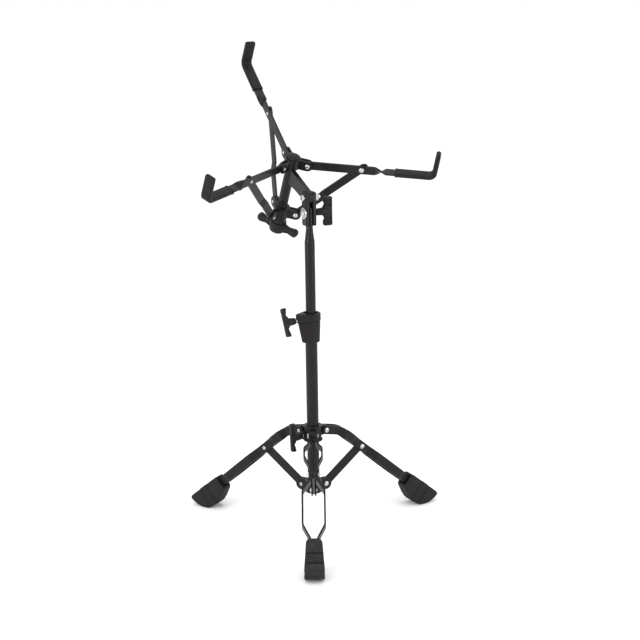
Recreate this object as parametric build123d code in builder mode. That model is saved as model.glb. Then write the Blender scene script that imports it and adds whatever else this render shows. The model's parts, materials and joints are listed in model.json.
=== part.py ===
"""Folding snare drum stand: braced tripod, sliding mast, tilter and a three-arm drum basket.

Millimetres. The origin is on the floor under the main tube's axis, +Z up. The near leg points
along -Y, and the right and left legs stand 120 degrees either side of it.
"""
import os
from math import cos, radians, sin

from build123d import *

os.makedirs("parts", exist_ok=True)

# ---------------------------------------------------------------- driving dimensions
# main tube and mast
LOWER_TUBE_R = 9.525
LOWER_TUBE_BORE_R = 8.525
LOWER_TUBE_BOTTOM = 61.0
LOWER_TUBE_TOP = 336.0
BUSHING_BORE_R = 8.0
MAST_R = 7.94
MAST_BORE_R = 6.54
MAST_BOTTOM = 226.0
MAST_ROUND_TOP = 468.0
MAST_FLAT_START = 492.5
MAST_FLAT_TOP = 522.0
MAST_FLAT_SIZE = (15.0, 7.4)

# tripod linkage, as (radius from the tube's axis, height)
LEG_AZIMUTHS = {"right": 30, "left": 150, "near": 270}
COLLAR_PIVOT = (21.5, 161.0)
BRACE_PIVOT = (87.0, 121.0)
LOWER_PIVOT = (21.0, 70.0)
LEG_SLOPE = 41.1
LEG_BEND_R = 47.5
LEG_END = 140.0  # along the slope, from the brace pivot

# pressed strips
STRIP_WIDTH = 14.0
LEG_STRIP_THICKNESS = 2.8
BRACE_THICKNESS = 2.8
ARM_THICKNESS = 3.0
LINK_WIDTH = 12.5
# how far each leg strip's middle stands off the leg's centre plane
PINCH = 5.6
LOOP = 13.8
HOOP = 17.0

# rivets
RIVET_R = 2.48
FIXED_HOLE_R = 2.5
TURNING_HOLE_R = 2.53
RIVET_HEAD_R = 4.3
HEAD_GAP = 0.1

# foot, in the plane of its leg
FOOT_MOUTH = 114.0
FOOT_HALF_HEIGHT = 12.5
FOOT_TOP_HALF_WIDTH = 12.0
FOOT_SOLE_HALF_WIDTH = 15.75
FOOT_REAR = (174.8, 18.0)
FOOT_TREAD = (194.7, 202.7)
FOOT_TIP = (229.7, 14.4)
FOOT_ROCKER_R = 31.0

# wing screws, both on the same side of the tube
SCREW_AZIMUTH = 210
SCREW_R = 2.95
SCREW_HOLE_R = 3.05
HEIGHT_SCREW_Z = 346.0
TRIPOD_SCREW_Z = 157.0
WING_SPAN = 45.0
WING_THICKNESS = 8.0

# collar at the top of the legs
LEG_COLLAR_BOTTOM = 147.0
LEG_COLLAR_TOP = 172.0
LEG_COLLAR_R = 13.6

# height collar
COLLAR_BOTTOM = 309.0
COLLAR_TOP = 355.5
SHOE_R = 3.9

# tilter, in its own frame: X towards the basket's side, Y up, Z along the tilt axis
TILT_AZIMUTH = 25
PIVOT_HEIGHT = 537.0
CHEEK_OUTER = 8.75
CHEEK_INNER = 3.9
CHEEK_DEPTH = 16.4
CHEEK_SHEET = 2.0
CHEEK_TOP = 9.0
CHEEK_BOTTOM = -43.5
TILT_BOLT_DROP = 23.8
TONGUE_THICKNESS = 7.3
TONGUE_R = 9.5

# drum basket, in its own frame: X along the tilt axis, Z up along the post
BASKET_LEAN = 28.5
HUB_AWAY = 60.0
HUB_UP = 45.7
ARM_AZIMUTHS = {"right": -30, "back": 90, "left": 210}
LINK_SIDES = {"right": -1, "back": 1, "left": 1}
HUB_PIVOT_R = 24.4
ARM_RISE = 10.0
ARM_LINK_AT = 84.0
ARM_TWIST = (104.0, 122.0)
SLEEVE_START = 136.0
ARM_ELBOW = 196.0
TIP_HEIGHT = 43.0
SLEEVE_WIDTH = 17.0
SLEEVE_THICKNESS = 7.4
SLIDER_DROP = 97.0
SLIDER_PIVOT_R = 23.6
LINK_JOGGLE = (50.0, 62.0)  # along a link, from its slider pivot
EAR_R = 8.5
EAR_GAP = 1.7
EAR_OUTER = 4.3
POST_R = 7.94
POST_BOTTOM = -133.0
NUT_TOP = -20.3  # from the slider's pivots
NUT_HEIGHT = 18.0
NUT_SPAN = 74.0
NUT_AZIMUTH = -52


# ---------------------------------------------------------------- placing planes
def direction(base, azimuth):
    """Unit vector square to base's Z axis, at an azimuth from its X."""
    return base.x_dir * cos(radians(azimuth)) + base.y_dir * sin(radians(azimuth))


def radial_plane(base, azimuth):
    """Plane through base's Z axis: X outwards, Y along that axis."""
    outward = direction(base, azimuth)
    return Plane(base.origin, x_dir=outward, z_dir=outward.cross(base.z_dir))


def outward_plane(base, azimuth, height):
    """Plane on base's Z axis at a height: Z outwards, Y along base's Z."""
    outward = direction(base, azimuth)
    return Plane(base.origin + base.z_dir * height, x_dir=base.z_dir.cross(outward), z_dir=outward)


def at(plane, x, y, z=0.0):
    """The same plane with its origin moved to local (x, y, z)."""
    return Plane(plane.from_local_coords((x, y, z)), x_dir=plane.x_dir, z_dir=plane.z_dir)


def turned(plane, angle):
    """The same plane turned about its own Z."""
    return Plane(plane.origin, x_dir=direction(plane, angle), z_dir=plane.z_dir)


def axis_plane(plane):
    """Plane through the other's Z axis with Y along it, where a turned profile is drawn."""
    return Plane(plane.origin, x_dir=plane.x_dir, z_dir=-plane.y_dir)


def polar(start, angle, distance):
    """The point at a distance from start, at an angle above local X."""
    return (start[0] + distance * cos(radians(angle)), start[1] + distance * sin(radians(angle)))


floor = Plane.XY
tilt_axis = direction(floor, TILT_AZIMUTH)
away = direction(floor, TILT_AZIMUTH + 90)
tilter = Plane((0, 0, PIVOT_HEIGHT), x_dir=away, z_dir=tilt_axis)
post_axis = tilter.y_dir * cos(radians(BASKET_LEAN)) - away * sin(radians(BASKET_LEAN))
basket = Plane(tilter.from_local_coords((HUB_AWAY, HUB_UP, 0)), x_dir=tilt_axis, z_dir=post_axis)
slider = basket.offset(-SLIDER_DROP)


def save(piece, name):
    """Label a finished piece and write its STEP file."""
    piece.part.label = name
    export_step(piece.part, f"parts/{name}.step")


# ---------------------------------------------------------------- features that repeat
def add_rivet(plane, low, high, dome=True, ring=True, head_r=RIVET_HEAD_R, shank_r=RIVET_R):
    """Turn a rivet about plane's Z: a domed head above high, a hollow clinched end below low."""
    with BuildSketch(axis_plane(plane)) as profile:
        with Locations((shank_r / 2, (low + high) / 2)):
            Rectangle(shank_r, high - low)
        if dome:
            with BuildLine():
                Polyline((0, high + 2.3), (0, high), (head_r, high), (head_r, high + 0.5))
                TangentArc((0, high + 2.3), (head_r, high + 0.5), tangent=(1, 0))
            make_face()
        if ring:
            with BuildLine():
                Polyline((0, low), (0, low - 0.3), (1.5, low - 0.3), (2.1, low - 1.5))
                ThreePointArc((2.1, low - 1.5), (3.1, low - 1.3), (3.7, low))
                Line((3.7, low), (0, low))
            make_face()
    revolve(profile.sketch, axis=Axis(plane.origin, plane.z_dir))


def add_ears(plane, pivot, root_r, half_width, ear_r):
    """A round-ended slab in a radial plane, from root_r out past the pivot."""
    with BuildSketch(plane) as ear:
        with Locations(pivot):
            Circle(ear_r)
        with Locations(((root_r + pivot[0]) / 2, pivot[1])):
            Rectangle(pivot[0] - root_r, 2 * ear_r)
    extrude(ear.sketch, amount=half_width, both=True)


def cut_slot(plane, pivot, inner_r, half_gap):
    """Part a slab into two ears."""
    with BuildSketch(plane) as slot:
        with Locations((inner_r + 20, pivot[1])):
            Rectangle(40, 40)
    extrude(slot.sketch, amount=half_gap, both=True, mode=Mode.SUBTRACT)


def drill(plane, points, radius):
    """Holes square through a strip or an ear."""
    with BuildSketch(plane) as holes:
        with Locations(*points):
            Circle(radius)
    extrude(holes.sketch, amount=30, both=True, mode=Mode.SUBTRACT)


def wing_grip(screw_plane, hub_start, blade_centre, blade_depth, lean, bore_r=SCREW_R):
    """A T-shaped grip about screw_plane's Z, moulded round the head of its screw."""
    back = blade_centre - blade_depth / 2
    front = blade_centre + blade_depth / 2
    end = WING_SPAN / 2
    across = turned(screw_plane, lean)
    blade_plane = Plane(across.origin, x_dir=across.y_dir, z_dir=across.x_dir)
    hub_r = 5.2
    with BuildPart() as grip:
        with BuildSketch(blade_plane) as blade:
            with BuildLine():
                Polyline(
                    (-end, front), (end, front), (end, back), (end * 0.62, back + 1.8),
                    (end * 0.3, back - 1), (-end * 0.3, back - 1), (-end * 0.62, back + 1.8),
                    (-end, back), close=True,
                )
            make_face()
            fillet(blade.vertices(), radius=2)
        extrude(amount=WING_THICKNESS / 2, both=True)
        fillet(grip.faces().filter_by(blade_plane).edges(), radius=1.2)
        for side in (-1, 1):
            with BuildSketch(blade_plane.offset(side * (WING_THICKNESS / 2 + 1))):
                with Locations((end * 0.62, blade_centre + 1), (-end * 0.62, blade_centre + 1)):
                    RectangleRounded(9, blade_depth * 0.42, 1.8)
            extrude(amount=-side * 2.3, mode=Mode.SUBTRACT)
        with BuildSketch(axis_plane(screw_plane)) as hub:
            with BuildLine():
                Polyline(
                    (0, hub_start), (hub_r, hub_start), (hub_r + 1.2, back + 1), (hub_r - 1.4, front - 2),
                    (0, front - 2), close=True,
                )
            make_face()
        revolve(hub.sketch, axis=Axis(screw_plane.origin, screw_plane.z_dir))
        with BuildSketch(screw_plane.offset(hub_start - 1)):
            Circle(bore_r)
        extrude(amount=front - 2 - hub_start, mode=Mode.SUBTRACT)
    return grip


def screw(plane, start, end):
    """A plain-ended clamp screw with its thread grooves, along plane's Z."""
    pitch = 1.25
    turns = int((end - start - 2) / pitch)
    with BuildPart() as shank:
        with BuildSketch(plane.offset(start)):
            Circle(SCREW_R)
        extrude(amount=end - start)
        with BuildSketch(axis_plane(at(plane, 0, 0, start + 1))):
            for turn in range(turns):
                groove = turn * pitch
                with BuildLine():
                    Polyline(
                        (SCREW_R, groove), (SCREW_R - 0.5, groove + 0.3), (SCREW_R, groove + 0.6),
                        close=True,
                    )
                make_face()
        revolve(axis=Axis(plane.origin, plane.z_dir), mode=Mode.SUBTRACT)
    return shank


# ---------------------------------------------------------------- main tube and its collars
def build_main_tube():
    with BuildPart() as tube:
        with BuildSketch(floor.offset(LOWER_TUBE_BOTTOM)):
            Circle(LOWER_TUBE_R)
            Circle(LOWER_TUBE_BORE_R, mode=Mode.SUBTRACT)
        extrude(amount=LOWER_TUBE_TOP - LOWER_TUBE_BOTTOM)
    save(tube, "lower_tube")

    with BuildPart() as cap:
        with BuildSketch(floor.offset(LOWER_TUBE_BOTTOM - 2)):
            Circle(LOWER_TUBE_R)
        extrude(amount=2)
        with BuildSketch(floor.offset(LOWER_TUBE_BOTTOM)):
            Circle(LOWER_TUBE_BORE_R)
            Circle(LOWER_TUBE_BORE_R - 2, mode=Mode.SUBTRACT)
        extrude(amount=12)
        fillet(cap.edges().group_by(Axis.Z)[0], radius=1.2)
    save(cap, "tube_end_cap")

    with BuildPart() as bushing:
        with BuildSketch(floor.offset(LOWER_TUBE_TOP - 36)):
            Circle(LOWER_TUBE_BORE_R)
        extrude(amount=36)
        with BuildSketch(floor.offset(LOWER_TUBE_TOP)):
            Circle(LOWER_TUBE_R)
        extrude(amount=2)
        with BuildSketch(floor.offset(LOWER_TUBE_TOP - 36)):
            Circle(BUSHING_BORE_R)
        extrude(amount=38, mode=Mode.SUBTRACT)
    save(bushing, "collar_bushing")


def build_lower_brace_collar():
    half_height = 9.5
    with BuildPart() as collar:
        with BuildSketch(floor.offset(LOWER_PIVOT[1] - half_height)):
            Circle(LOWER_TUBE_R + 3.6)
        extrude(amount=2 * half_height)
        for azimuth in LEG_AZIMUTHS.values():
            add_ears(radial_plane(floor, azimuth), LOWER_PIVOT, 8, 4.0, half_height)
        for azimuth in LEG_AZIMUTHS.values():
            plane = radial_plane(floor, azimuth)
            cut_slot(plane, LOWER_PIVOT, LOWER_TUBE_R + 3.8, BRACE_THICKNESS / 2 + 0.2)
            drill(plane, [LOWER_PIVOT], FIXED_HOLE_R)
        with BuildSketch(floor):
            Circle(LOWER_TUBE_R + 0.02)
        extrude(amount=LOWER_TUBE_TOP, mode=Mode.SUBTRACT)
    save(collar, "lower_brace_collar")

    with BuildPart() as rivets:
        for azimuth in LEG_AZIMUTHS.values():
            add_rivet(at(radial_plane(floor, azimuth), *LOWER_PIVOT), -4.0, 4.0)
    save(rivets, "lower_brace_rivets")


def build_height_collar():
    screw_plane = outward_plane(floor, SCREW_AZIMUTH, HEIGHT_SCREW_Z)
    toward_screw = Plane((0, 0, COLLAR_BOTTOM), x_dir=screw_plane.z_dir, z_dir=(0, 0, 1))
    height = COLLAR_TOP - COLLAR_BOTTOM
    rim = 11.5
    with BuildPart() as collar:
        with BuildSketch(toward_screw):
            Circle(13.4)
            with Locations((8.5, 0)):
                Circle(7)
            make_hull()
        with BuildSketch(toward_screw.offset(height - rim)):
            Circle(14.8)
            with Locations((15.5, 0)):
                Circle(7.4)
            make_hull()
        loft()
        with BuildSketch(toward_screw.offset(height - rim)):
            Circle(15.3)
            with Locations((17.6, 0)):
                Circle(8.2)
            make_hull()
        extrude(amount=rim, taper=-1)
        fillet(collar.edges().group_by(Axis.Z)[-1], radius=1.6)
        fillet(collar.edges().group_by(Axis.Z)[0], radius=1.2)
        with BuildSketch(floor.offset(COLLAR_TOP)):
            Circle(11.2)
        extrude(amount=-1.6, mode=Mode.SUBTRACT)
        with BuildSketch(floor.offset(COLLAR_BOTTOM)):
            Circle(LOWER_TUBE_R + 0.02)
        extrude(amount=LOWER_TUBE_TOP + 2 - COLLAR_BOTTOM, mode=Mode.SUBTRACT)
        with BuildSketch(floor.offset(COLLAR_BOTTOM)):
            Circle(BUSHING_BORE_R + 0.2)
        extrude(amount=height, mode=Mode.SUBTRACT)
        with BuildSketch(screw_plane):
            Circle(SHOE_R + 0.05)
        extrude(amount=11.2, mode=Mode.SUBTRACT)
        with BuildSketch(screw_plane):
            Circle(SCREW_HOLE_R)
        extrude(amount=40, mode=Mode.SUBTRACT)
    save(collar, "height_collar")

    with BuildPart() as shoe:
        with BuildSketch(screw_plane.offset(MAST_R + 0.1)):
            Circle(SHOE_R)
        extrude(amount=2.6)
    save(shoe, "height_pressure_shoe")

    save(screw(screw_plane, 10.9, 45.5), "height_screw")
    save(wing_grip(screw_plane, 28.5, 43, 11, 24), "height_wing_grip")


def build_upper_leg_collar():
    screw_plane = outward_plane(floor, SCREW_AZIMUTH, TRIPOD_SCREW_Z)
    height = LEG_COLLAR_TOP - LEG_COLLAR_BOTTOM
    with BuildPart() as collar:
        with BuildSketch(floor.offset(LEG_COLLAR_BOTTOM)):
            Circle(LEG_COLLAR_R)
        extrude(amount=height)
        for flange in (LEG_COLLAR_BOTTOM, LEG_COLLAR_TOP - 2.5):
            with BuildSketch(floor.offset(flange)):
                Circle(LEG_COLLAR_R + 1.6)
            extrude(amount=2.5)
        fillet(collar.edges().group_by(Axis.Z)[-1] + collar.edges().group_by(Axis.Z)[0], radius=0.8)
        ear_half = PINCH - LEG_STRIP_THICKNESS / 2 - 0.2
        for azimuth in LEG_AZIMUTHS.values():
            add_ears(radial_plane(floor, azimuth), COLLAR_PIVOT, 8, ear_half, 7.5)
        with BuildSketch(screw_plane):
            Circle(6.2)
        extrude(amount=18.5)
        for azimuth in LEG_AZIMUTHS.values():
            drill(radial_plane(floor, azimuth), [COLLAR_PIVOT], FIXED_HOLE_R)
        with BuildSketch(floor):
            Circle(LOWER_TUBE_R + 0.075)
        extrude(amount=LOWER_TUBE_TOP, mode=Mode.SUBTRACT)
        with BuildSketch(screw_plane):
            Circle(SCREW_HOLE_R)
        extrude(amount=40, mode=Mode.SUBTRACT)
    save(collar, "upper_leg_collar")

    grip = PINCH + LEG_STRIP_THICKNESS / 2 + HEAD_GAP
    with BuildPart() as rivets:
        for azimuth in LEG_AZIMUTHS.values():
            add_rivet(at(radial_plane(floor, azimuth), *COLLAR_PIVOT), -grip, grip)
    save(rivets, "leg_collar_rivets")

    save(screw(screw_plane, LOWER_TUBE_R + 0.15, 37.5), "tripod_screw")
    save(wing_grip(screw_plane, 20.5, 35, 11, 5), "tripod_wing_grip")


# ---------------------------------------------------------------- legs and braces
def build_leg_strip(name, azimuth, side):
    """One of a leg's two strips: bent down in side view, bowed in plan to clear the collars."""
    side_view = radial_plane(floor, azimuth)
    slope = direction(side_view, -LEG_SLOPE)
    hinge_point = side_view.from_local_coords((*BRACE_PIVOT, 0))
    bow_plane = Plane(hinge_point, x_dir=slope, z_dir=slope.cross(side_view.z_dir))
    above_hinge = (BRACE_PIVOT[0] - LEG_BEND_R) / cos(radians(LEG_SLOPE))
    bend = polar(BRACE_PIVOT, 180 - LEG_SLOPE, above_hinge)
    flip = 1 if bow_plane.y_dir.dot(side_view.z_dir) > 0 else -1
    bow_points = [
        (-90, PINCH), (-53, PINCH), (-44, LOOP), (-29, LOOP), (-12, PINCH), (13, PINCH),
        (30, HOOP), (88, HOOP), (111, PINCH), (150, PINCH),
    ]
    with BuildPart() as strip:
        with BuildSketch(side_view):
            with BuildLine():
                FilletPolyline(COLLAR_PIVOT, bend, polar(BRACE_PIVOT, -LEG_SLOPE, LEG_END), radius=45)
            trace(line_width=STRIP_WIDTH)
            with Locations(COLLAR_PIVOT):
                Circle(STRIP_WIDTH / 2)
        extrude(amount=25, both=True)
        with BuildSketch(bow_plane):
            with BuildLine():
                FilletPolyline(*[(x, flip * side * y) for x, y in bow_points], radius=7)
            trace(line_width=LEG_STRIP_THICKNESS)
        extrude(amount=90, both=True, mode=Mode.INTERSECT)
        drill(side_view, [COLLAR_PIVOT], TURNING_HOLE_R)
        drill(side_view, [BRACE_PIVOT], FIXED_HOLE_R)
    save(strip, name)


def build_foot(name, azimuth):
    """Moulded rubber boot with a rocker sole, flared towards the floor."""
    side_view = radial_plane(floor, azimuth)
    mouth = polar(BRACE_PIVOT, -LEG_SLOPE, FOOT_MOUTH)
    mouth_top = polar(mouth, 90 - LEG_SLOPE, FOOT_HALF_HEIGHT)
    mouth_low = polar(mouth, -90 - LEG_SLOPE, FOOT_HALF_HEIGHT)
    rear_bulge = ((FOOT_REAR[0] + FOOT_TREAD[0]) / 2 - 1.2, FOOT_REAR[1] / 2 - 2.0)
    front_bulge = ((FOOT_TREAD[1] + FOOT_TIP[0]) / 2 + 1.5, FOOT_TIP[1] / 2 - 2.6)
    leg_line = direction(side_view, -LEG_SLOPE)
    with BuildPart() as foot:
        with BuildSketch(side_view):
            with BuildLine():
                Polyline(mouth_top, mouth_low, FOOT_REAR)
                ThreePointArc(FOOT_REAR, rear_bulge, (FOOT_TREAD[0], 0))
                Line((FOOT_TREAD[0], 0), (FOOT_TREAD[1], 0))
                ThreePointArc((FOOT_TREAD[1], 0), front_bulge, FOOT_TIP)
                Line(FOOT_TIP, mouth_top)
            make_face()
        extrude(amount=FOOT_SOLE_HALF_WIDTH, both=True)
        front_view = Plane((0, 0, 0), x_dir=side_view.z_dir, z_dir=-side_view.x_dir)
        with BuildSketch(front_view):
            with BuildLine():
                Polyline(
                    (FOOT_SOLE_HALF_WIDTH, -1), (FOOT_TOP_HALF_WIDTH, 56),
                    (-FOOT_TOP_HALF_WIDTH, 56), (-FOOT_SOLE_HALF_WIDTH, -1), close=True,
                )
            make_face()
        extrude(amount=-260, mode=Mode.INTERSECT)
        flanks = foot.faces().filter_by(lambda f: abs(f.normal_at().dot(side_view.z_dir)) > 0.9)
        fillet(flanks.edges(), radius=1.8)
        mouth_centre = side_view.from_local_coords((*mouth, 0))
        pocket_plane = Plane(mouth_centre, x_dir=side_view.z_dir, z_dir=leg_line)
        with BuildSketch(pocket_plane.offset(-5)):
            Rectangle(2 * PINCH + LEG_STRIP_THICKNESS + 0.1, STRIP_WIDTH + 0.1)
        extrude(amount=5.1 + LEG_END - FOOT_MOUTH, mode=Mode.SUBTRACT)
    save(foot, name)


def build_leg(side_name, azimuth):
    side_view = radial_plane(floor, azimuth)
    brace_hinge = at(side_view, *BRACE_PIVOT)
    build_leg_strip(f"{side_name}_leg_front_strip", azimuth, 1)
    build_leg_strip(f"{side_name}_leg_back_strip", azimuth, -1)
    build_foot(f"{side_name}_foot", azimuth)

    strip_inner = PINCH - LEG_STRIP_THICKNESS / 2
    strip_outer = PINCH + LEG_STRIP_THICKNESS / 2
    clear = BRACE_THICKNESS / 2 + 0.2
    with BuildPart() as washers:
        with BuildSketch(brace_hinge.offset(clear)):
            Circle(5.6)
            Circle(FIXED_HOLE_R, mode=Mode.SUBTRACT)
        extrude(amount=strip_inner - clear)
        mirror(about=brace_hinge)
    save(washers, f"{side_name}_leg_washers")

    # the rivet stops either side of the brace, whose hole it has to leave while the leg folds
    with BuildPart() as rivet:
        add_rivet(brace_hinge, clear, strip_outer, ring=False)
        add_rivet(brace_hinge, -strip_outer, -clear, dome=False)
    save(rivet, f"{side_name}_leg_rivet")

    with BuildPart() as brace:
        with BuildSketch(side_view):
            with BuildLine():
                Line(LOWER_PIVOT, BRACE_PIVOT)
            trace(line_width=STRIP_WIDTH)
            with Locations(LOWER_PIVOT, BRACE_PIVOT):
                Circle(STRIP_WIDTH / 2)
                Circle(TURNING_HOLE_R, mode=Mode.SUBTRACT)
        extrude(amount=BRACE_THICKNESS / 2, both=True)
    save(brace, f"{side_name}_brace")


# ---------------------------------------------------------------- mast and tilter
def build_mast():
    with BuildPart() as mast:
        with BuildSketch(floor.offset(MAST_BOTTOM)):
            Circle(MAST_R)
        extrude(amount=MAST_ROUND_TOP - MAST_BOTTOM)
        with BuildSketch(Plane((0, 0, MAST_ROUND_TOP), x_dir=away, z_dir=(0, 0, 1))):
            Circle(MAST_R)
        with BuildSketch(Plane((0, 0, MAST_FLAT_START), x_dir=away, z_dir=(0, 0, 1))):
            SlotOverall(*MAST_FLAT_SIZE)
        loft()
        with BuildSketch(Plane((0, 0, MAST_FLAT_START), x_dir=away, z_dir=(0, 0, 1))):
            SlotOverall(*MAST_FLAT_SIZE)
        extrude(amount=MAST_FLAT_TOP - MAST_FLAT_START)
        with BuildSketch(floor.offset(MAST_BOTTOM)):
            Circle(MAST_BORE_R)
        extrude(amount=MAST_ROUND_TOP - MAST_BOTTOM - 4, mode=Mode.SUBTRACT)
        drill(tilter, [(0, -TILT_BOLT_DROP)], SCREW_R + 0.02)
    save(mast, "upper_tube")


def build_tilter():
    for name, side in (("left_tilter_cheek", -1), ("right_tilter_cheek", 1)):
        with BuildPart() as cheek:
            with BuildSketch(tilter.offset(side * CHEEK_OUTER)):
                with Locations((0, (CHEEK_TOP + CHEEK_BOTTOM) / 2)):
                    RectangleRounded(CHEEK_DEPTH, CHEEK_TOP - CHEEK_BOTTOM, 3)
            extrude(amount=-side * (CHEEK_OUTER - CHEEK_INNER))
            fillet(cheek.faces().sort_by(Axis((0, 0, 0), tilt_axis * side))[-1].edges(), radius=1.4)
            with BuildSketch(tilter.offset(side * CHEEK_INNER)):
                with Locations((0, (CHEEK_TOP + CHEEK_BOTTOM) / 2)):
                    Rectangle(CHEEK_DEPTH - 2 * CHEEK_SHEET, CHEEK_TOP - CHEEK_BOTTOM - 2 * CHEEK_SHEET)
            extrude(amount=side * (CHEEK_OUTER - CHEEK_INNER - CHEEK_SHEET), mode=Mode.SUBTRACT)
            drill(tilter, [(0, 0), (0, -TILT_BOLT_DROP)], SCREW_R + 0.02)
        save(cheek, name)

    with BuildPart() as pivot_bolt:
        with BuildSketch(tilter.offset(-CHEEK_OUTER - HEAD_GAP)):
            Circle(SCREW_R)
        extrude(amount=2 * CHEEK_OUTER + 9)
        with BuildSketch(tilter.offset(-CHEEK_OUTER - HEAD_GAP)):
            Circle(5)
        extrude(amount=-4)
        fillet(pivot_bolt.faces().sort_by(Axis((0, 0, 0), tilt_axis))[0].edges(), radius=2.2)
    save(pivot_bolt, "tilt_pivot_bolt")

    with BuildPart() as pivot_nut:
        with BuildSketch(tilter.offset(CHEEK_OUTER + HEAD_GAP)):
            RegularPolygon(5.8, 6)
            Circle(SCREW_R, mode=Mode.SUBTRACT)
        extrude(amount=6)
        chamfer(pivot_nut.faces().sort_by(Axis((0, 0, 0), tilt_axis))[-1].outer_wire().edges(), 0.7)
    save(pivot_nut, "tilt_pivot_nut")

    bolt_plane = at(tilter, 0, -TILT_BOLT_DROP)
    with BuildPart() as washer:
        with BuildSketch(bolt_plane.offset(-CHEEK_OUTER)):
            Circle(9)
            Circle(SCREW_R, mode=Mode.SUBTRACT)
        extrude(amount=-1.6)
        fillet(washer.faces().sort_by(Axis((0, 0, 0), tilt_axis))[0].outer_wire().edges(), radius=0.7)
    save(washer, "tilt_bolt_washer")

    with BuildPart() as bolt:
        with BuildSketch(bolt_plane.offset(-CHEEK_OUTER - 1.6)):
            Circle(5.6)
        extrude(amount=-3)
        fillet(bolt.faces().sort_by(Axis((0, 0, 0), tilt_axis))[0].edges(), radius=1.8)
        with BuildSketch(bolt_plane.offset(-CHEEK_OUTER - 1.6)):
            Circle(SCREW_R)
        extrude(amount=CHEEK_OUTER + 1.6 + 33)
    save(bolt, "tilt_bolt")

    save(wing_grip(bolt_plane, CHEEK_OUTER + 0.3, 31, 14, 0, SCREW_R + 0.05), "tilt_wing_nut")


# ---------------------------------------------------------------- drum basket
def build_basket_frame():
    pivot = (-HUB_AWAY * cos(radians(BASKET_LEAN)) - HUB_UP * sin(radians(BASKET_LEAN)),
             HUB_AWAY * sin(radians(BASKET_LEAN)) - HUB_UP * cos(radians(BASKET_LEAN)))
    bracket_view = Plane(basket.origin, x_dir=basket.y_dir, z_dir=tilt_axis)
    with BuildPart() as bracket:
        with BuildSketch(bracket_view):
            with Locations(pivot):
                Circle(TONGUE_R)
            with BuildLine():
                Polyline(
                    (pivot[0], pivot[1] + TONGUE_R), (-12, -9.4), (0, -9.4), (0, -36),
                    (-8, -36), (-30, -29.5), (pivot[0], pivot[1] - TONGUE_R), close=True,
                )
            make_face()
        extrude(amount=TONGUE_THICKNESS / 2, both=True)
        with BuildSketch(bracket_view):
            with BuildLine():
                Polyline(
                    (pivot[0] + 14, pivot[1] - 40), (pivot[0] + 14, pivot[1] + 5.5),
                    (-14, -11.6), (-9.5, -40), close=True,
                )
            make_face()
        extrude(amount=TONGUE_THICKNESS / 2 - 2, both=True, mode=Mode.SUBTRACT)
        with BuildSketch(basket.offset(-45)):
            Circle(POST_R)
        extrude(amount=45, mode=Mode.SUBTRACT)
        drill(bracket_view, [pivot], SCREW_R + 0.05)
    save(bracket, "basket_bracket")

    with BuildPart() as post:
        with BuildSketch(basket.offset(POST_BOTTOM)):
            Circle(POST_R)
            Circle(POST_R - 1.8, mode=Mode.SUBTRACT)
        extrude(amount=5 - POST_BOTTOM)
    save(post, "basket_post")

    with BuildPart() as hub:
        with BuildSketch(basket.offset(-9)):
            Circle(12)
        extrude(amount=18)
        for azimuth in ARM_AZIMUTHS.values():
            add_ears(radial_plane(basket, azimuth), (HUB_PIVOT_R, 0), 6, EAR_OUTER, EAR_R)
        for azimuth in ARM_AZIMUTHS.values():
            plane = radial_plane(basket, azimuth)
            cut_slot(plane, (HUB_PIVOT_R, 0), 13.5, EAR_GAP)
            drill(plane, [(HUB_PIVOT_R, 0)], FIXED_HOLE_R)
        with BuildSketch(basket.offset(-9)):
            Circle(POST_R)
        extrude(amount=14, mode=Mode.SUBTRACT)
    save(hub, "basket_hub")

    with BuildPart() as cap:
        with BuildSketch(Plane(basket.origin, x_dir=basket.x_dir, z_dir=-basket.y_dir)):
            with BuildLine():
                Polyline((0, 12.8), (0, 9), (10.5, 9), (10.5, 10))
                TangentArc((0, 12.8), (10.5, 10), tangent=(1, 0))
            make_face()
        revolve(axis=Axis(basket.origin, basket.z_dir))
    save(cap, "hub_cap")

    with BuildPart() as rivets:
        for azimuth in ARM_AZIMUTHS.values():
            add_rivet(at(radial_plane(basket, azimuth), HUB_PIVOT_R, 0), -EAR_OUTER, EAR_OUTER)
    save(rivets, "hub_rivets")


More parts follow.
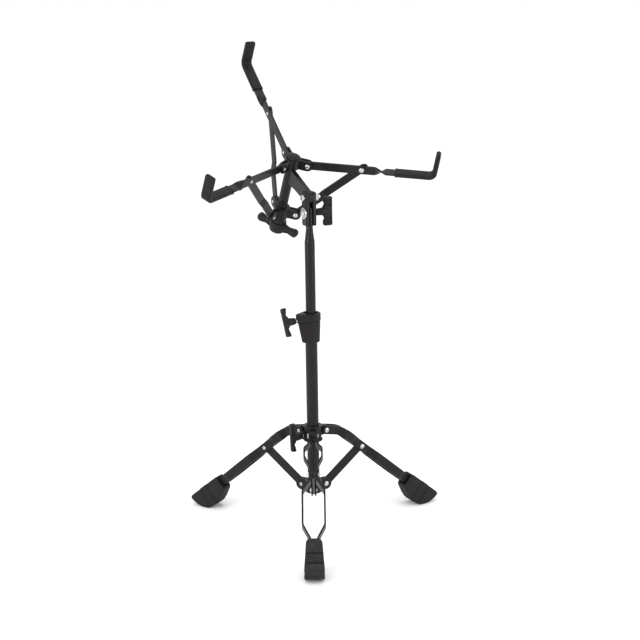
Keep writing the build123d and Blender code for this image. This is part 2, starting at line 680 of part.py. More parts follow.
def build_slider():
    with BuildPart() as collar:
        with BuildSketch(slider.offset(-9)):
            Circle(12.6)
        extrude(amount=18)
        with BuildSketch(slider.offset(NUT_TOP + 0.3)):
            Circle(11)
        extrude(amount=12)
        for azimuth in ARM_AZIMUTHS.values():
            add_ears(radial_plane(slider, azimuth), (SLIDER_PIVOT_R, 0), 8, EAR_OUTER, EAR_R)
        for azimuth in ARM_AZIMUTHS.values():
            plane = radial_plane(slider, azimuth)
            cut_slot(plane, (SLIDER_PIVOT_R, 0), 13.5, EAR_GAP)
            drill(plane, [(SLIDER_PIVOT_R, 0)], FIXED_HOLE_R)
        with BuildSketch(slider.offset(-30)):
            Circle(POST_R + 0.07)
        extrude(amount=50, mode=Mode.SUBTRACT)
    save(collar, "basket_slider")

    with BuildPart() as rivets:
        for azimuth in ARM_AZIMUTHS.values():
            add_rivet(at(radial_plane(slider, azimuth), SLIDER_PIVOT_R, 0), -EAR_OUTER, EAR_OUTER)
    save(rivets, "basket_slider_rivets")

    nut_plane = turned(slider.offset(NUT_TOP), NUT_AZIMUTH)
    wing_view = Plane(nut_plane.origin, x_dir=nut_plane.x_dir, z_dir=-nut_plane.y_dir)
    half = NUT_SPAN / 2
    with BuildPart() as nut:
        with BuildSketch(wing_view) as wings:
            with BuildLine():
                Polyline(
                    (0, -2), (12, -2), (21, -5), (half - 6, -2), (half, -7),
                    (half - 4, -15), (half - 14, -16), (21, -13.5), (12, 1 - NUT_HEIGHT),
                    (0, 1 - NUT_HEIGHT), close=True,
                )
            make_face()
            mirror(about=Plane.YZ)
            fillet(wings.vertices().filter_by(lambda v: abs(v.X) > 12.5), radius=2.4)
        extrude(amount=4.5, both=True)
        fillet(nut.faces().filter_by(wing_view).edges(), radius=1.2)
        with BuildSketch(nut_plane):
            Circle(13)
        extrude(amount=-NUT_HEIGHT)
        fillet(nut.edges().filter_by(GeomType.CIRCLE).group_by(SortBy.RADIUS)[-1], radius=1.4)
        with BuildSketch(nut_plane):
            Circle(POST_R + 0.06)
        extrude(amount=-NUT_HEIGHT, mode=Mode.SUBTRACT)
    save(nut, "basket_nut")


def add_twist(plane, start, end, width, thickness):
    """A quarter twist of flat strip along plane's X, from upright to flat."""
    steps = 6
    sections = []
    for step in range(steps + 1):
        share = step / steps
        section_plane = Plane(
            plane.from_local_coords((start + share * (end - start), 0, 0)),
            x_dir=plane.y_dir * cos(radians(90 * share)) + plane.z_dir * sin(radians(90 * share)),
            z_dir=plane.x_dir,
        )
        with BuildSketch(section_plane) as section:
            Rectangle(width, thickness)
        sections.append(section.sketch)
    loft(sections, ruled=True)


def build_arm(side_name, azimuth, link_side):
    radial = radial_plane(basket, azimuth)
    arm = turned(at(radial, HUB_PIVOT_R, 0), ARM_RISE)
    tip_angle = 90 - ARM_RISE + 3
    elbow = (ARM_ELBOW, 0)
    strip_tip = polar(elbow, tip_angle, TIP_HEIGHT - 4)
    sleeve_tip = polar(elbow, tip_angle, TIP_HEIGHT - SLEEVE_THICKNESS / 2)

    with BuildPart() as strip:
        with BuildSketch(arm):
            with Locations((ARM_TWIST[0] / 2, 0)):
                Rectangle(ARM_TWIST[0], STRIP_WIDTH)
            Circle(STRIP_WIDTH / 2)
        extrude(amount=ARM_THICKNESS / 2, both=True)
        add_twist(arm, *ARM_TWIST, STRIP_WIDTH, ARM_THICKNESS)
        with BuildSketch(arm):
            with BuildLine():
                FilletPolyline((ARM_TWIST[1], 0), elbow, strip_tip, radius=9)
            trace(line_width=ARM_THICKNESS)
        extrude(amount=STRIP_WIDTH / 2, both=True)
        drill(arm, [(0, 0)], TURNING_HOLE_R)
        drill(arm, [(ARM_LINK_AT, 0)], FIXED_HOLE_R)
    save(strip, f"{side_name}_arm")

    with BuildPart() as sleeve:
        with BuildSketch(arm):
            with BuildLine():
                FilletPolyline((SLEEVE_START, 0), elbow, sleeve_tip, radius=9)
            trace(line_width=SLEEVE_THICKNESS)
            with Locations(sleeve_tip):
                Circle(SLEEVE_THICKNESS / 2)
        extrude(amount=SLEEVE_WIDTH / 2, both=True)
        fillet(sleeve.faces().filter_by(arm).edges(), radius=2.2)
        add(strip.part, mode=Mode.SUBTRACT)
    save(sleeve, f"{side_name}_arm_sleeve")

    # each rivet end stops where arm and link meet, because that pivot parts while the arms fold
    link_hinge = at(arm, ARM_LINK_AT, 0)
    half = ARM_THICKNESS / 2
    with BuildPart() as rivet:
        add_rivet(link_hinge, -half, half, dome=link_side < 0, ring=link_side > 0)
    save(rivet, f"{side_name}_arm_rivet")

    build_link(side_name, azimuth, link_side, radial, link_hinge)


def build_link(side_name, azimuth, link_side, radial, link_hinge):
    """Joggled strip from the slider's ears to the back of the arm."""
    foot_point = radial.to_local_coords(at(radial_plane(slider, azimuth), SLIDER_PIVOT_R, 0).origin)
    top_point = radial.to_local_coords(link_hinge.origin)
    along = (link_hinge.origin - radial.from_local_coords(foot_point)).normalized()
    length = (top_point - foot_point).length
    link = Plane(radial.from_local_coords(foot_point), x_dir=along, z_dir=radial.z_dir)
    joggle_plane = Plane(link.origin, x_dir=along, z_dir=-link.y_dir)
    offset = link_side * (ARM_THICKNESS + 0.2)
    with BuildPart() as strip:
        with BuildSketch(link):
            with Locations((length / 2 + 1, 0)):
                Rectangle(length + 2, LINK_WIDTH)
            Circle(LINK_WIDTH / 2)
            with Locations((length + 2, 0)):
                Ellipse(9, LINK_WIDTH / 2)
        extrude(amount=10, both=True)
        with BuildSketch(joggle_plane):
            with BuildLine():
                FilletPolyline(
                    (-12, 0), (LINK_JOGGLE[0], 0), (LINK_JOGGLE[1], offset), (length + 16, offset),
                    radius=8,
                )
            trace(line_width=ARM_THICKNESS)
        extrude(amount=15, both=True, mode=Mode.INTERSECT)
        drill(link, [(0, 0)], TURNING_HOLE_R)
        drill(link, [(length, 0)], FIXED_HOLE_R)
        half = ARM_THICKNESS / 2
        add_rivet(
            at(link, length, 0), offset - half, offset + half,
            dome=link_side > 0, ring=link_side < 0, shank_r=FIXED_HOLE_R,
        )
    save(strip, f"{side_name}_link")


# ---------------------------------------------------------------- the whole stand
build_main_tube()
build_lower_brace_collar()
build_height_collar()
build_upper_leg_collar()
for side_name, azimuth in LEG_AZIMUTHS.items():
    build_leg(side_name, azimuth)
build_mast()
build_tilter()
build_basket_frame()
build_slider()
for side_name, azimuth in ARM_AZIMUTHS.items():
    build_arm(side_name, azimuth, LINK_SIDES[side_name])
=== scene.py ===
"""Finishes a folding snare drum stand on its CAD frame: paint, rubber, rivets and grips.

Lengths in the code are metres; the sizes that a maker would quote are written in millimetres
times MM. Every piece keeps the frame's origin, on the floor under the main tube.
"""

import json
from math import acos, atan2, cos, hypot, pi, radians, sin

import bmesh
import bpy
from bpy.props import FloatProperty, FloatVectorProperty, IntProperty, PointerProperty
from mathutils import Matrix, Vector


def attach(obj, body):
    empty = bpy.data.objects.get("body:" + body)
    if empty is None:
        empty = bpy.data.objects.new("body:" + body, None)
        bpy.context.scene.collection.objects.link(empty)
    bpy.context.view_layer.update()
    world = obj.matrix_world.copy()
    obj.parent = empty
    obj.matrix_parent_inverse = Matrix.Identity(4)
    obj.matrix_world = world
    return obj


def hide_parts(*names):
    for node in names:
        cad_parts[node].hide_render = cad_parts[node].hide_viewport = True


bl_info = {
    "name": "Snare Drum Stand",
    "version": (1, 0, 0),
    "blender": (4, 5, 0),
    "location": "3D View > Sidebar > Drum Stand",
    "description": "Adds the finishes and moulded parts of a folding snare drum stand",
    "category": "Add Mesh",
}

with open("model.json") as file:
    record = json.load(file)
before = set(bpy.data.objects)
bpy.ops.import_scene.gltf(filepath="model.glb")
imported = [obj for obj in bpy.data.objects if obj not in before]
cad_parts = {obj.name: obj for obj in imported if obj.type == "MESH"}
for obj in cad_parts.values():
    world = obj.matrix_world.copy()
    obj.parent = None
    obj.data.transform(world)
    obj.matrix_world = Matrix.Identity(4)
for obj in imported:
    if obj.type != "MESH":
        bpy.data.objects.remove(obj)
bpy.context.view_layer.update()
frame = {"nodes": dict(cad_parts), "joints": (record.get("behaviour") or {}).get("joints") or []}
MM = 0.001
MERGE_WITHIN = 0.002 * MM
UP = Vector((0, 0, 1))
JOINTS = {joint["name"]: joint for joint in frame["joints"]}
LEGS = ("right", "left", "near")
ARMS = ("right", "back", "left")

# the stand's own sizes, as the CAD has them
LEG_SLOPE = radians(41.1)
BRACE_RIVET = (87 * MM, 121 * MM)
FOOT_MOUTH = 114 * MM
STRIP_STAND_OFF = 5.6 * MM
STRIP_THICKNESS = 2.8 * MM
EAR_OUTER = 4.3 * MM
ARM_RISE = radians(10)
ARM_LINK_AT = 84 * MM
ARM_ELBOW = 196 * MM
SLEEVE_START = 136 * MM
TIP_TURN = radians(83)
POST_R = 7.94 * MM
SCREW_R = 2.95 * MM
TILT_NUT_REACH = 20 * MM
COLLAR_BOTTOM = 309 * MM
COLLAR_TOP = 355.5 * MM
COLLAR_EAR = 4 * MM
LINK_STEP = {"right": -1, "back": 1, "left": 1}
# colour of settled dust, which also paints a sheen on upward faces
DUST_AND_SHEEN_COLOR = (0.16, 0.155, 0.15, 1.0)


# ---------------------------------------------------------------- where things sit
def pivot(joint):
    """A hinge's place and direction at rest."""
    return Vector(JOINTS[joint]["pos_m"]), Vector(JOINTS[joint]["axis"])


def place(origin, x_dir, z_dir):
    """Matrix that puts local axes at origin, with Z along z_dir and X as near x_dir as it goes."""
    z = z_dir.normalized()
    x = (x_dir - z * x_dir.dot(z)).normalized()
    y = z.cross(x)
    rows = [(x[i], y[i], z[i], origin[i]) for i in range(3)]
    return Matrix((*rows, (0, 0, 0, 1)))


def leg_frame(leg):
    """Local X down the leg from its brace rivet, Y square to it and up, Z across it."""
    _, axis = pivot(f"{leg}_brace_fold")
    outward = UP.cross(axis)
    down_leg = outward * cos(LEG_SLOPE) - UP * sin(LEG_SLOPE)
    rivet = outward * BRACE_RIVET[0] + UP * BRACE_RIVET[1]
    return place(rivet, down_leg, axis)


def arm_frame(arm):
    """Local X along the arm from its hub pivot, Y towards the drum, Z along the pivot."""
    at, axis = pivot(f"{arm}_arm_fold")
    outward = Vector(JOINTS["slider_lift"]["axis"]).cross(axis)
    along = Matrix.Rotation(ARM_RISE, 3, axis) @ outward
    return place(at, along, axis)


# ---------------------------------------------------------------- making meshes
def add_object(name, mesh):
    piece = bpy.data.objects.new(name, mesh)
    bpy.context.scene.collection.objects.link(piece)
    return piece


def set_shading(mesh, sharp_angle):
    mesh.shade_smooth()
    mesh.set_sharp_from_angle(angle=radians(sharp_angle))


def fit_body(piece, body, material, slot, *nodes):
    """Gives a finished piece its material, the CAD nodes it stands for and its body; the slot it is
    given is not used.
    """
    if material is not None:
        piece.data.materials.clear()
        piece.data.materials.append(material)
    if nodes:
        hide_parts(*nodes)
    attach(piece, body)


class Shell:
    """A mesh that grows from rings of points, with faces that end up pointing outwards."""

    def __init__(self):
        self.bm = bmesh.new()

    def add_rings(self, rings, closed=False):
        """Quads between rings of equal length; the end rings are filled unless all close up."""
        loops = [[self.bm.verts.new(point) for point in ring] for ring in rings]
        pairs = list(zip(loops, loops[1:]))
        if closed:
            pairs.append((loops[-1], loops[0]))
        count = len(loops[0])
        for low, high in pairs:
            for i in range(count):
                j = (i + 1) % count
                self.bm.faces.new((low[i], low[j], high[j], high[i]))
        if not closed:
            self.bm.faces.new(list(reversed(loops[0])))
            self.bm.faces.new(loops[-1])

    def add_turned(self, profile, segments):
        """A (radius, height) profile in millimetres, turned about local Z and closed on itself."""
        rings = [
            [Vector((r * MM * cos(a), r * MM * sin(a), z * MM)) for r, z in profile]
            for a in (2 * pi * k / segments for k in range(segments))
        ]
        self.add_rings(rings, closed=True)

    def finish(self, matrix, sharp_angle):
        """Merges, points the faces outwards and puts the mesh in its place."""
        bm = self.bm
        bmesh.ops.remove_doubles(bm, verts=bm.verts, dist=MERGE_WITHIN)
        bmesh.ops.dissolve_degenerate(bm, edges=bm.edges, dist=MERGE_WITHIN / 4)
        bmesh.ops.recalc_face_normals(bm, faces=bm.faces)
        mesh = bpy.data.meshes.new("shell")
        bm.to_mesh(mesh)
        bm.free()
        mesh.transform(matrix)
        set_shading(mesh, sharp_angle)
        return mesh


def rounded_box_ring(low, high, half_width, radius, corner_steps):
    """Points round a rectangle with rounded corners, as (height, width) pairs."""
    radius = min(radius, (high - low) / 2.001, half_width * 0.999)
    points = []
    for quarter, side in enumerate((1, -1, -1, 1)):
        height = high - radius if quarter < 2 else low + radius
        width = side * (half_width - radius)
        for step in range(corner_steps + 1):
            angle = pi / 2 * (quarter + step / corner_steps)
            points.append((height + radius * sin(angle), width + radius * cos(angle)))
    return points


def smooth_step(value, low, high):
    share = min(max((value - low) / (high - low), 0.0), 1.0)
    return share * share * (3 - 2 * share)


def dip(value, centre, half_width):
    """1 at the centre of a groove and 0 at its edges, rounded between."""
    share = abs(value - centre) / half_width
    return 0.0 if share >= 1 else 0.5 + 0.5 * cos(pi * share)


def along_points(points, value):
    """Straight-line reading of a table of (x, y) pairs."""
    for (x0, y0), (x1, y1) in zip(points, points[1:]):
        if value <= x1:
            return y0 + (y1 - y0) * (value - x0) / (x1 - x0)
    return points[-1][1]


def arc_points(start, middle, end, steps):
    """Points on the circle through three points, end left out."""
    ax, ay = start
    bx, by = middle
    cx, cy = end
    d = 2 * (ax * (by - cy) + bx * (cy - ay) + cx * (ay - by))
    a2, b2, c2 = ax**2 + ay**2, bx**2 + by**2, cx**2 + cy**2
    ux = (a2 * (by - cy) + b2 * (cy - ay) + c2 * (ay - by)) / d
    uy = (a2 * (cx - bx) + b2 * (ax - cx) + c2 * (bx - ax)) / d
    r = hypot(ax - ux, ay - uy)
    a0 = atan2(ay - uy, ax - ux)
    a1 = atan2(cy - uy, cx - ux)
    am = atan2(by - uy, bx - ux)
    turn = (a1 - a0) % (2 * pi)
    if (am - a0) % (2 * pi) > turn:
        turn -= 2 * pi
    return [
        (ux + r * cos(a0 + turn * k / steps), uy + r * sin(a0 + turn * k / steps))
        for k in range(steps)
    ]


# ---------------------------------------------------------------- node trees
class Tree:
    """Short calls for building a node tree."""

    def __init__(self, nodes_owner):
        self.tree = nodes_owner
        self.nodes = nodes_owner.nodes
        self.links = nodes_owner.links

    def node(self, kind, values=None, **settings):
        """A node with its settings and inputs; a value that is a socket is linked."""
        made = self.nodes.new(kind)
        for name, value in settings.items():
            setattr(made, name, value)
        for name, value in (values or {}).items():
            socket = made.inputs[name]
            if isinstance(value, bpy.types.NodeSocket):
                self.links.new(value, socket)
            else:
                socket.default_value = value
        return made

    def math(self, operation, a, b, clamp=False):
        made = self.node("ShaderNodeMath", {0: a, 1: b}, operation=operation, use_clamp=clamp)
        return made.outputs[0]

    def noise(self, where, scale, detail, roughness=0.5):
        values = {"Vector": where, "Scale": scale, "Detail": detail, "Roughness": roughness}
        return self.node("ShaderNodeTexNoise", values).outputs["Fac"]

    def spread(self, value, low, high):
        """0 below low, 1 above high and a straight line between."""
        values = {"Value": value, "From Min": low, "From Max": high}
        return self.node("ShaderNodeMapRange", values).outputs["Result"]

    def mix_color(self, factor, first, second):
        values = {"Factor": factor, 6: first, 7: second}
        return self.node("ShaderNodeMix", values, data_type="RGBA").outputs[2]

    def moved_up(self, geometry, distance):
        """A shape shifted along Z."""
        shift = self.node("ShaderNodeCombineXYZ", {2: distance}).outputs["Vector"]
        values = {"Geometry": geometry, "Translation": shift}
        return self.node("GeometryNodeTransform", values).outputs["Geometry"]

    def bar(self, segments, radius, length):
        """A round bar centred on the origin, along Z."""
        values = {"Vertices": segments, "Radius": radius, "Depth": length}
        return self.node("GeometryNodeMeshCylinder", values).outputs["Mesh"]

    def swept(self, path, resolution, radius, **values):
        """A round section carried along a curve."""
        values |= {"Curve": path, "Profile Curve": self.circle(resolution, radius)}
        return self.node("GeometryNodeCurveToMesh", values).outputs["Mesh"]

    def circle(self, resolution, radius):
        values = {"Resolution": resolution, "Radius": radius}
        return self.node("GeometryNodeCurvePrimitiveCircle", values).outputs["Curve"]

    def joined(self, *shapes):
        whole = self.node("GeometryNodeJoinGeometry")
        for shape in shapes:
            self.links.new(shape, whole.inputs["Geometry"])
        return whole.outputs["Geometry"]

    def send_painted(self, geometry, material, leave):
        """Turns instances into real mesh, paints it and sends it out of the tree."""
        real = self.node("GeometryNodeRealizeInstances", {"Geometry": geometry})
        painted = self.node(
            "GeometryNodeSetMaterial",
            {"Geometry": real.outputs["Geometry"], "Material": material},
        )
        self.links.new(painted.outputs["Geometry"], leave.inputs["Geometry"])


def new_group(name, kind, inputs, outputs):
    """A node group with its Group Input and Group Output; a default's type picks the socket's."""
    group = bpy.data.node_groups.new(name, kind)
    shape = "NodeSocketGeometry" if kind == "GeometryNodeTree" else "NodeSocketFloat"
    if kind == "GeometryNodeTree":
        inputs = {"Geometry": None, **inputs, "Material": "NodeSocketMaterial"}
    for label, default in inputs.items():
        kinds = {int: "NodeSocketInt", float: "NodeSocketFloat", type(None): shape}
        socket_type = default if isinstance(default, str) else kinds[type(default)]
        socket = group.interface.new_socket(label, in_out="INPUT", socket_type=socket_type)
        if isinstance(default, (int, float)):
            socket.default_value = default
    for label in outputs:
        group.interface.new_socket(label, in_out="OUTPUT", socket_type=shape)
    tree = Tree(group)
    return tree, tree.node("NodeGroupInput"), tree.node("NodeGroupOutput")


def grain_group():
    """Fine moulded or sprayed texture: a height, and a slow cloudy mask."""
    name = "Surface Grain"
    if name in bpy.data.node_groups:
        return bpy.data.node_groups[name]
    tree, entry, leave = new_group(
        name, "ShaderNodeTree", {"Grain Size": 0.6 * MM, "Cloud Size": 10 * MM, "Softness": 0.5},
        ("Height", "Clouds"),
    )
    where = tree.node("ShaderNodeTexCoord").outputs["Object"]
    fine_scale = tree.math("DIVIDE", 1.0, entry.outputs["Grain Size"])
    fine = tree.noise(where, fine_scale, 3.0)
    cells = tree.node(
        "ShaderNodeTexVoronoi", {"Vector": where, "Scale": fine_scale}, feature="SMOOTH_F1",
    )
    blend = tree.node(
        "ShaderNodeMix",
        {"Factor": entry.outputs["Softness"], 2: cells.outputs["Distance"], 3: fine},
        data_type="FLOAT",
    )
    slow_scale = tree.math("DIVIDE", 1.0, entry.outputs["Cloud Size"])
    clouds = tree.spread(tree.noise(where, slow_scale, 5.0), 0.3, 0.7)
    tree.links.new(blend.outputs[0], leave.inputs["Height"])
    tree.links.new(clouds, leave.inputs["Clouds"])
    return tree.tree


def marks_and_sheen_group():
    """Dust and painted sheen that lighten upward faces, and fine rub marks left by hands and cases.
    """
    name = "Handling Marks"
    if name in bpy.data.node_groups:
        return bpy.data.node_groups[name]
    tree, entry, leave = new_group(
        name, "ShaderNodeTree", {"Dust and Sheen": 0.08, "Rub Size": 4 * MM}, ("Dust and Sheen", "Rubs"),
    )
    where = tree.node("ShaderNodeTexCoord")
    facing = tree.node("ShaderNodeSeparateXYZ", {0: where.outputs["Normal"]}).outputs["Z"]
    # upward faces get dust and a painted sheen: their tops are lighter, as where the light falls
    upward = tree.spread(facing, 0.35, 1.0)
    patches = tree.spread(tree.noise(where.outputs["Object"], 160.0, 6.0), 0.38, 0.72)
    upward_patches = tree.math("MULTIPLY", upward, patches)
    dust_and_sheen = tree.math("MULTIPLY", upward_patches, entry.outputs["Dust and Sheen"], clamp=True)
    stretched = tree.node(
        "ShaderNodeMapping", {"Vector": where.outputs["Object"], "Scale": (1.0, 1.0, 0.16)},
    )
    rub_scale = tree.math("DIVIDE", 1.0, entry.outputs["Rub Size"])
    rubs = tree.noise(stretched.outputs["Vector"], rub_scale, 8.0, 0.7)
    tree.links.new(dust_and_sheen, leave.inputs["Dust and Sheen"])
    tree.links.new(tree.spread(rubs, 0.56, 0.74), leave.inputs["Rubs"])
    return tree.tree


def finish_material(name, color, light_color, roughness, rough_change, grain_size, grain_depth,
                    metallic=0.0, coat=0.0, specular=0.16, dust_and_sheen=0.08, softness=0.5, rub_size=4.0,
                    cloud_size=10.0):
    """A material of one finish: clouded colour and gloss, dust and painted sheen on upward faces,
    rub marks and fine grain.

    The sizes of grain, clouds and rubs and the grain's depth are in millimetres.
    """
    if name in bpy.data.materials:
        return bpy.data.materials[name]
    material = bpy.data.materials.new(name)
    material.use_nodes = True
    tree = Tree(material.node_tree)
    shader = tree.nodes["Principled BSDF"]
    for socket, value in (
        ("Metallic", metallic), ("Coat Weight", coat), ("Coat Roughness", 0.12),
        ("Specular IOR Level", specular),
    ):
        shader.inputs[socket].default_value = value
    grain = tree.node(
        "ShaderNodeGroup",
        {"Grain Size": grain_size * MM, "Cloud Size": cloud_size * MM, "Softness": softness},
        node_tree=grain_group(),
    )
    marks_and_sheen = tree.node(
        "ShaderNodeGroup",
        {"Dust and Sheen": dust_and_sheen, "Rub Size": rub_size * MM},
        node_tree=marks_and_sheen_group(),
    )
    clouds, dust_and_sheen_share = grain.outputs["Clouds"], marks_and_sheen.outputs["Dust and Sheen"]
    tone = tree.mix_color(clouds, (*color, 1.0), (*light_color, 1.0))
    # upward faces are mixed towards the dust colour: real dust, and a painted sheen
    tree.links.new(tree.mix_color(dust_and_sheen_share, tone, DUST_AND_SHEEN_COLOR), shader.inputs["Base Color"])
    cloudy = tree.math("MULTIPLY", clouds, rough_change)
    rubbed = tree.math("MULTIPLY", marks_and_sheen.outputs["Rubs"], -rough_change * 0.7)
    level = tree.math("ADD", tree.math("ADD", cloudy, rubbed), roughness)
    dull = tree.math("ADD", level, tree.math("MULTIPLY", dust_and_sheen_share, 0.3), clamp=True)
    tree.links.new(dull, shader.inputs["Roughness"])
    bump = tree.node(
        "ShaderNodeBump",
        {"Height": grain.outputs["Height"], "Strength": 0.6, "Distance": grain_depth * MM},
    )
    tree.links.new(bump.outputs["Normal"], shader.inputs["Normal"])
    return material


def lighter(color, share):
    return [channel * share for channel in color]


def steel_paint():
    """Semi-gloss powder coat, with the slight ripple that baked powder leaves."""
    finish = bpy.context.scene.stand_finish
    steel = finish.steel_color
    return finish_material(
        "Black powder coat", steel, lighter(steel, 1.5), finish.steel_roughness,
        rough_change=0.1, grain_size=1.1, grain_depth=0.06, coat=0.05, softness=0.85,
        cloud_size=30.0,
    )


def tube_paint():
    """The same black on the drawn tubes, flatter and glossier."""
    finish = bpy.context.scene.stand_finish
    steel = finish.steel_color
    return finish_material(
        "Gloss black tube paint", steel, lighter(steel, 1.35), finish.tube_roughness,
        rough_change=0.07, grain_size=1.6, grain_depth=0.03, coat=0.15, dust_and_sheen=0.05, softness=1.0,
        rub_size=3.0, specular=0.12, cloud_size=30.0,
    )


def boot_rubber():
    rubber = bpy.context.scene.stand_finish.rubber_color
    return finish_material(
        "Boot rubber", rubber, lighter(rubber, 1.35), 0.62,
        rough_change=0.12, grain_size=0.7, grain_depth=0.09, dust_and_sheen=0.14, softness=0.35,
        cloud_size=12.0,
    )


def sleeve_rubber():
    rubber = bpy.context.scene.stand_finish.rubber_color
    return finish_material(
        "Arm sleeve rubber", lighter(rubber, 0.62), lighter(rubber, 0.85), 0.5,
        rough_change=0.1, grain_size=0.5, grain_depth=0.05, dust_and_sheen=0.06, softness=0.6,
        cloud_size=15.0,
    )


def moulded_plastic():
    plastic = bpy.context.scene.stand_finish.plastic_color
    return finish_material(
        "Moulded black plastic", plastic, lighter(plastic, 1.4), 0.42,
        rough_change=0.1, grain_size=0.5, grain_depth=0.07, softness=0.25,
    )


def bright_zinc():
    zinc = bpy.context.scene.stand_finish.zinc_color
    return finish_material(
        "Bright zinc plate", lighter(zinc, 0.86), zinc, 0.2,
        rough_change=0.16, grain_size=0.9, grain_depth=0.03, metallic=1.0, dust_and_sheen=0.05,
        softness=0.9, rub_size=1.6, cloud_size=4.0, specular=0.5,
    )


def nylon():
    return finish_material(
        "Black nylon", (0.03, 0.03, 0.032), (0.045, 0.045, 0.047), 0.5,
        rough_change=0.1, grain_size=0.8, grain_depth=0.05, dust_and_sheen=0.1, softness=0.6,
    )


def turned_brass():
    return finish_material(
        "Turned brass", (0.62, 0.42, 0.17), (0.74, 0.53, 0.25), 0.28,
        rough_change=0.14, grain_size=0.8, grain_depth=0.03, metallic=1.0, dust_and_sheen=0.05,
        softness=0.8, cloud_size=4.0, specular=0.5,
    )


def paint_nodes(material, *nodes):
    """Gives CAD nodes whose shape is kept their finish."""
    for node in nodes:
        slots = frame["nodes"][node].data.materials
        for index in range(len(slots)):
            slots[index] = material


# ---------------------------------------------------------------- shapes that repeat
def rivet_tree(name, clinched):
    """Rivet ends on points: a dome or a rolled ring with the length of shank behind it."""
    if name in bpy.data.node_groups:
        return bpy.data.node_groups[name]
    tree, entry, leave = new_group(
        name, "GeometryNodeTree",
        {
            "Head Radius": 4.3 * MM, "Head Height": 2.3 * MM, "Shank Radius": 2.45 * MM,
            "Shank Length": 4 * MM, "Segments": 32,
        },
        ("Geometry",),
    )
    size = entry.outputs
    if clinched:
        roll = tree.math("MULTIPLY", size["Head Radius"], 0.24)
        middle = tree.math("SUBTRACT", size["Head Radius"], tree.math("MULTIPLY", roll, 1.9))
        ring = tree.swept(tree.circle(size["Segments"], middle), 12, roll)
        head = tree.moved_up(ring, tree.math("MULTIPLY", roll, 0.55))
    else:
        ball = tree.node(
            "GeometryNodeMeshUVSphere", {"Segments": size["Segments"], "Rings": 16, "Radius": 1.0},
        )
        point = tree.node("GeometryNodeInputPosition").outputs["Position"]
        parts = tree.node("ShaderNodeSeparateXYZ", {0: point}).outputs
        flat = tree.math("MAXIMUM", parts["Z"], -0.12)
        rounded = tree.node(
            "ShaderNodeCombineXYZ",
            {
                0: tree.math("MULTIPLY", parts["X"], size["Head Radius"]),
                1: tree.math("MULTIPLY", parts["Y"], size["Head Radius"]),
                2: tree.math("MULTIPLY", flat, size["Head Height"]),
            },
        )
        head = tree.node(
            "GeometryNodeSetPosition",
            {"Geometry": ball.outputs["Mesh"], "Position": rounded.outputs["Vector"]},
        ).outputs["Geometry"]
    shank = tree.bar(size["Segments"], size["Shank Radius"], size["Shank Length"])
    sunk = tree.moved_up(shank, tree.math("MULTIPLY", size["Shank Length"], -0.5))
    aim = tree.node("GeometryNodeInputNamedAttribute", {"Name": "aim"}, data_type="FLOAT_VECTOR")
    turn = tree.node(
        "FunctionNodeAlignRotationToVector", {"Vector": aim.outputs["Attribute"]}, axis="Z",
    )
    copies = tree.node(
        "GeometryNodeInstanceOnPoints",
        {
            "Points": size["Geometry"], "Instance": tree.joined(head, sunk),
            "Rotation": turn.outputs["Rotation"],
        },
    )
    tree.send_painted(copies.outputs["Instances"], size["Material"], leave)
    return tree.tree


def thread_tree():
    """A threaded bar along Z: a plain core with one helical ridge, and a plain length beyond it."""
    name = "Threaded bar"
    if name in bpy.data.node_groups:
        return bpy.data.node_groups[name]
    tree, entry, leave = new_group(
        name, "GeometryNodeTree",
        {
            "Radius": SCREW_R, "Pitch": 1 * MM, "Thread Length": 20 * MM, "Plain Length": 0.0,
            "Segments": 40,
        },
        ("Geometry",),
    )
    size = entry.outputs
    ridge_r = tree.math("MULTIPLY", size["Pitch"], 0.36)
    core_r = tree.math("SUBTRACT", size["Radius"], tree.math("MULTIPLY", ridge_r, 0.9))
    centre_r = tree.math("SUBTRACT", size["Radius"], ridge_r)
    length = tree.math("SUBTRACT", size["Thread Length"], tree.math("MULTIPLY", size["Pitch"], 0.9))
    helix = tree.node(
        "GeometryNodeCurveSpiral",
        {
            "Resolution": size["Segments"],
            "Rotations": tree.math("DIVIDE", length, size["Pitch"]),
            "Start Radius": centre_r, "End Radius": centre_r, "Height": length,
        },
    )
    ridge = tree.swept(helix.outputs["Curve"], 6, ridge_r, **{"Fill Caps": True})
    threads = tree.moved_up(ridge, tree.math("MULTIPLY", size["Pitch"], 0.45))
    core = tree.moved_up(
        tree.bar(size["Segments"], core_r, size["Thread Length"]),
        tree.math("MULTIPLY", size["Thread Length"], 0.5),
    )
    half_plain = tree.math("MULTIPLY", size["Plain Length"], 0.5)
    plain = tree.moved_up(
        tree.bar(size["Segments"], size["Radius"], size["Plain Length"]),
        tree.math("ADD", size["Thread Length"], half_plain),
    )
    tree.send_painted(tree.joined(threads, core, plain), size["Material"], leave)
    return tree.tree


def bake_tree(name, tree, values, points=(), matrix=None):
    """Runs a geometry tree on points with aims, keeps its plain mesh and drops the modifier."""
    seed = bpy.data.meshes.new(name)
    seed.from_pydata([at for at, _ in points], [], [])
    aims = seed.attributes.new("aim", "FLOAT_VECTOR", "POINT")
    for index, (_, aim) in enumerate(points):
        aims.data[index].vector = aim
    piece = add_object(name, seed)
    modifier = piece.modifiers.new("Shape", "NODES")
    modifier.node_group = tree
    for item in tree.interface.items_tree:
        if item.in_out == "INPUT" and item.name in values:
            modifier[item.identifier] = values[item.name]
    depsgraph = bpy.context.evaluated_depsgraph_get()
    mesh = bpy.data.meshes.new_from_object(piece.evaluated_get(depsgraph), depsgraph=depsgraph)
    piece.modifiers.remove(modifier)
    if matrix is not None:
        mesh.transform(matrix)
    set_shading(mesh, 35)
    piece.data = mesh
    return piece


# ---------------------------------------------------------------- settings
def color_setting(name, description, default):
    return FloatVectorProperty(
        name=name, description=description, default=default, min=0, max=1, size=3, subtype="COLOR",
    )


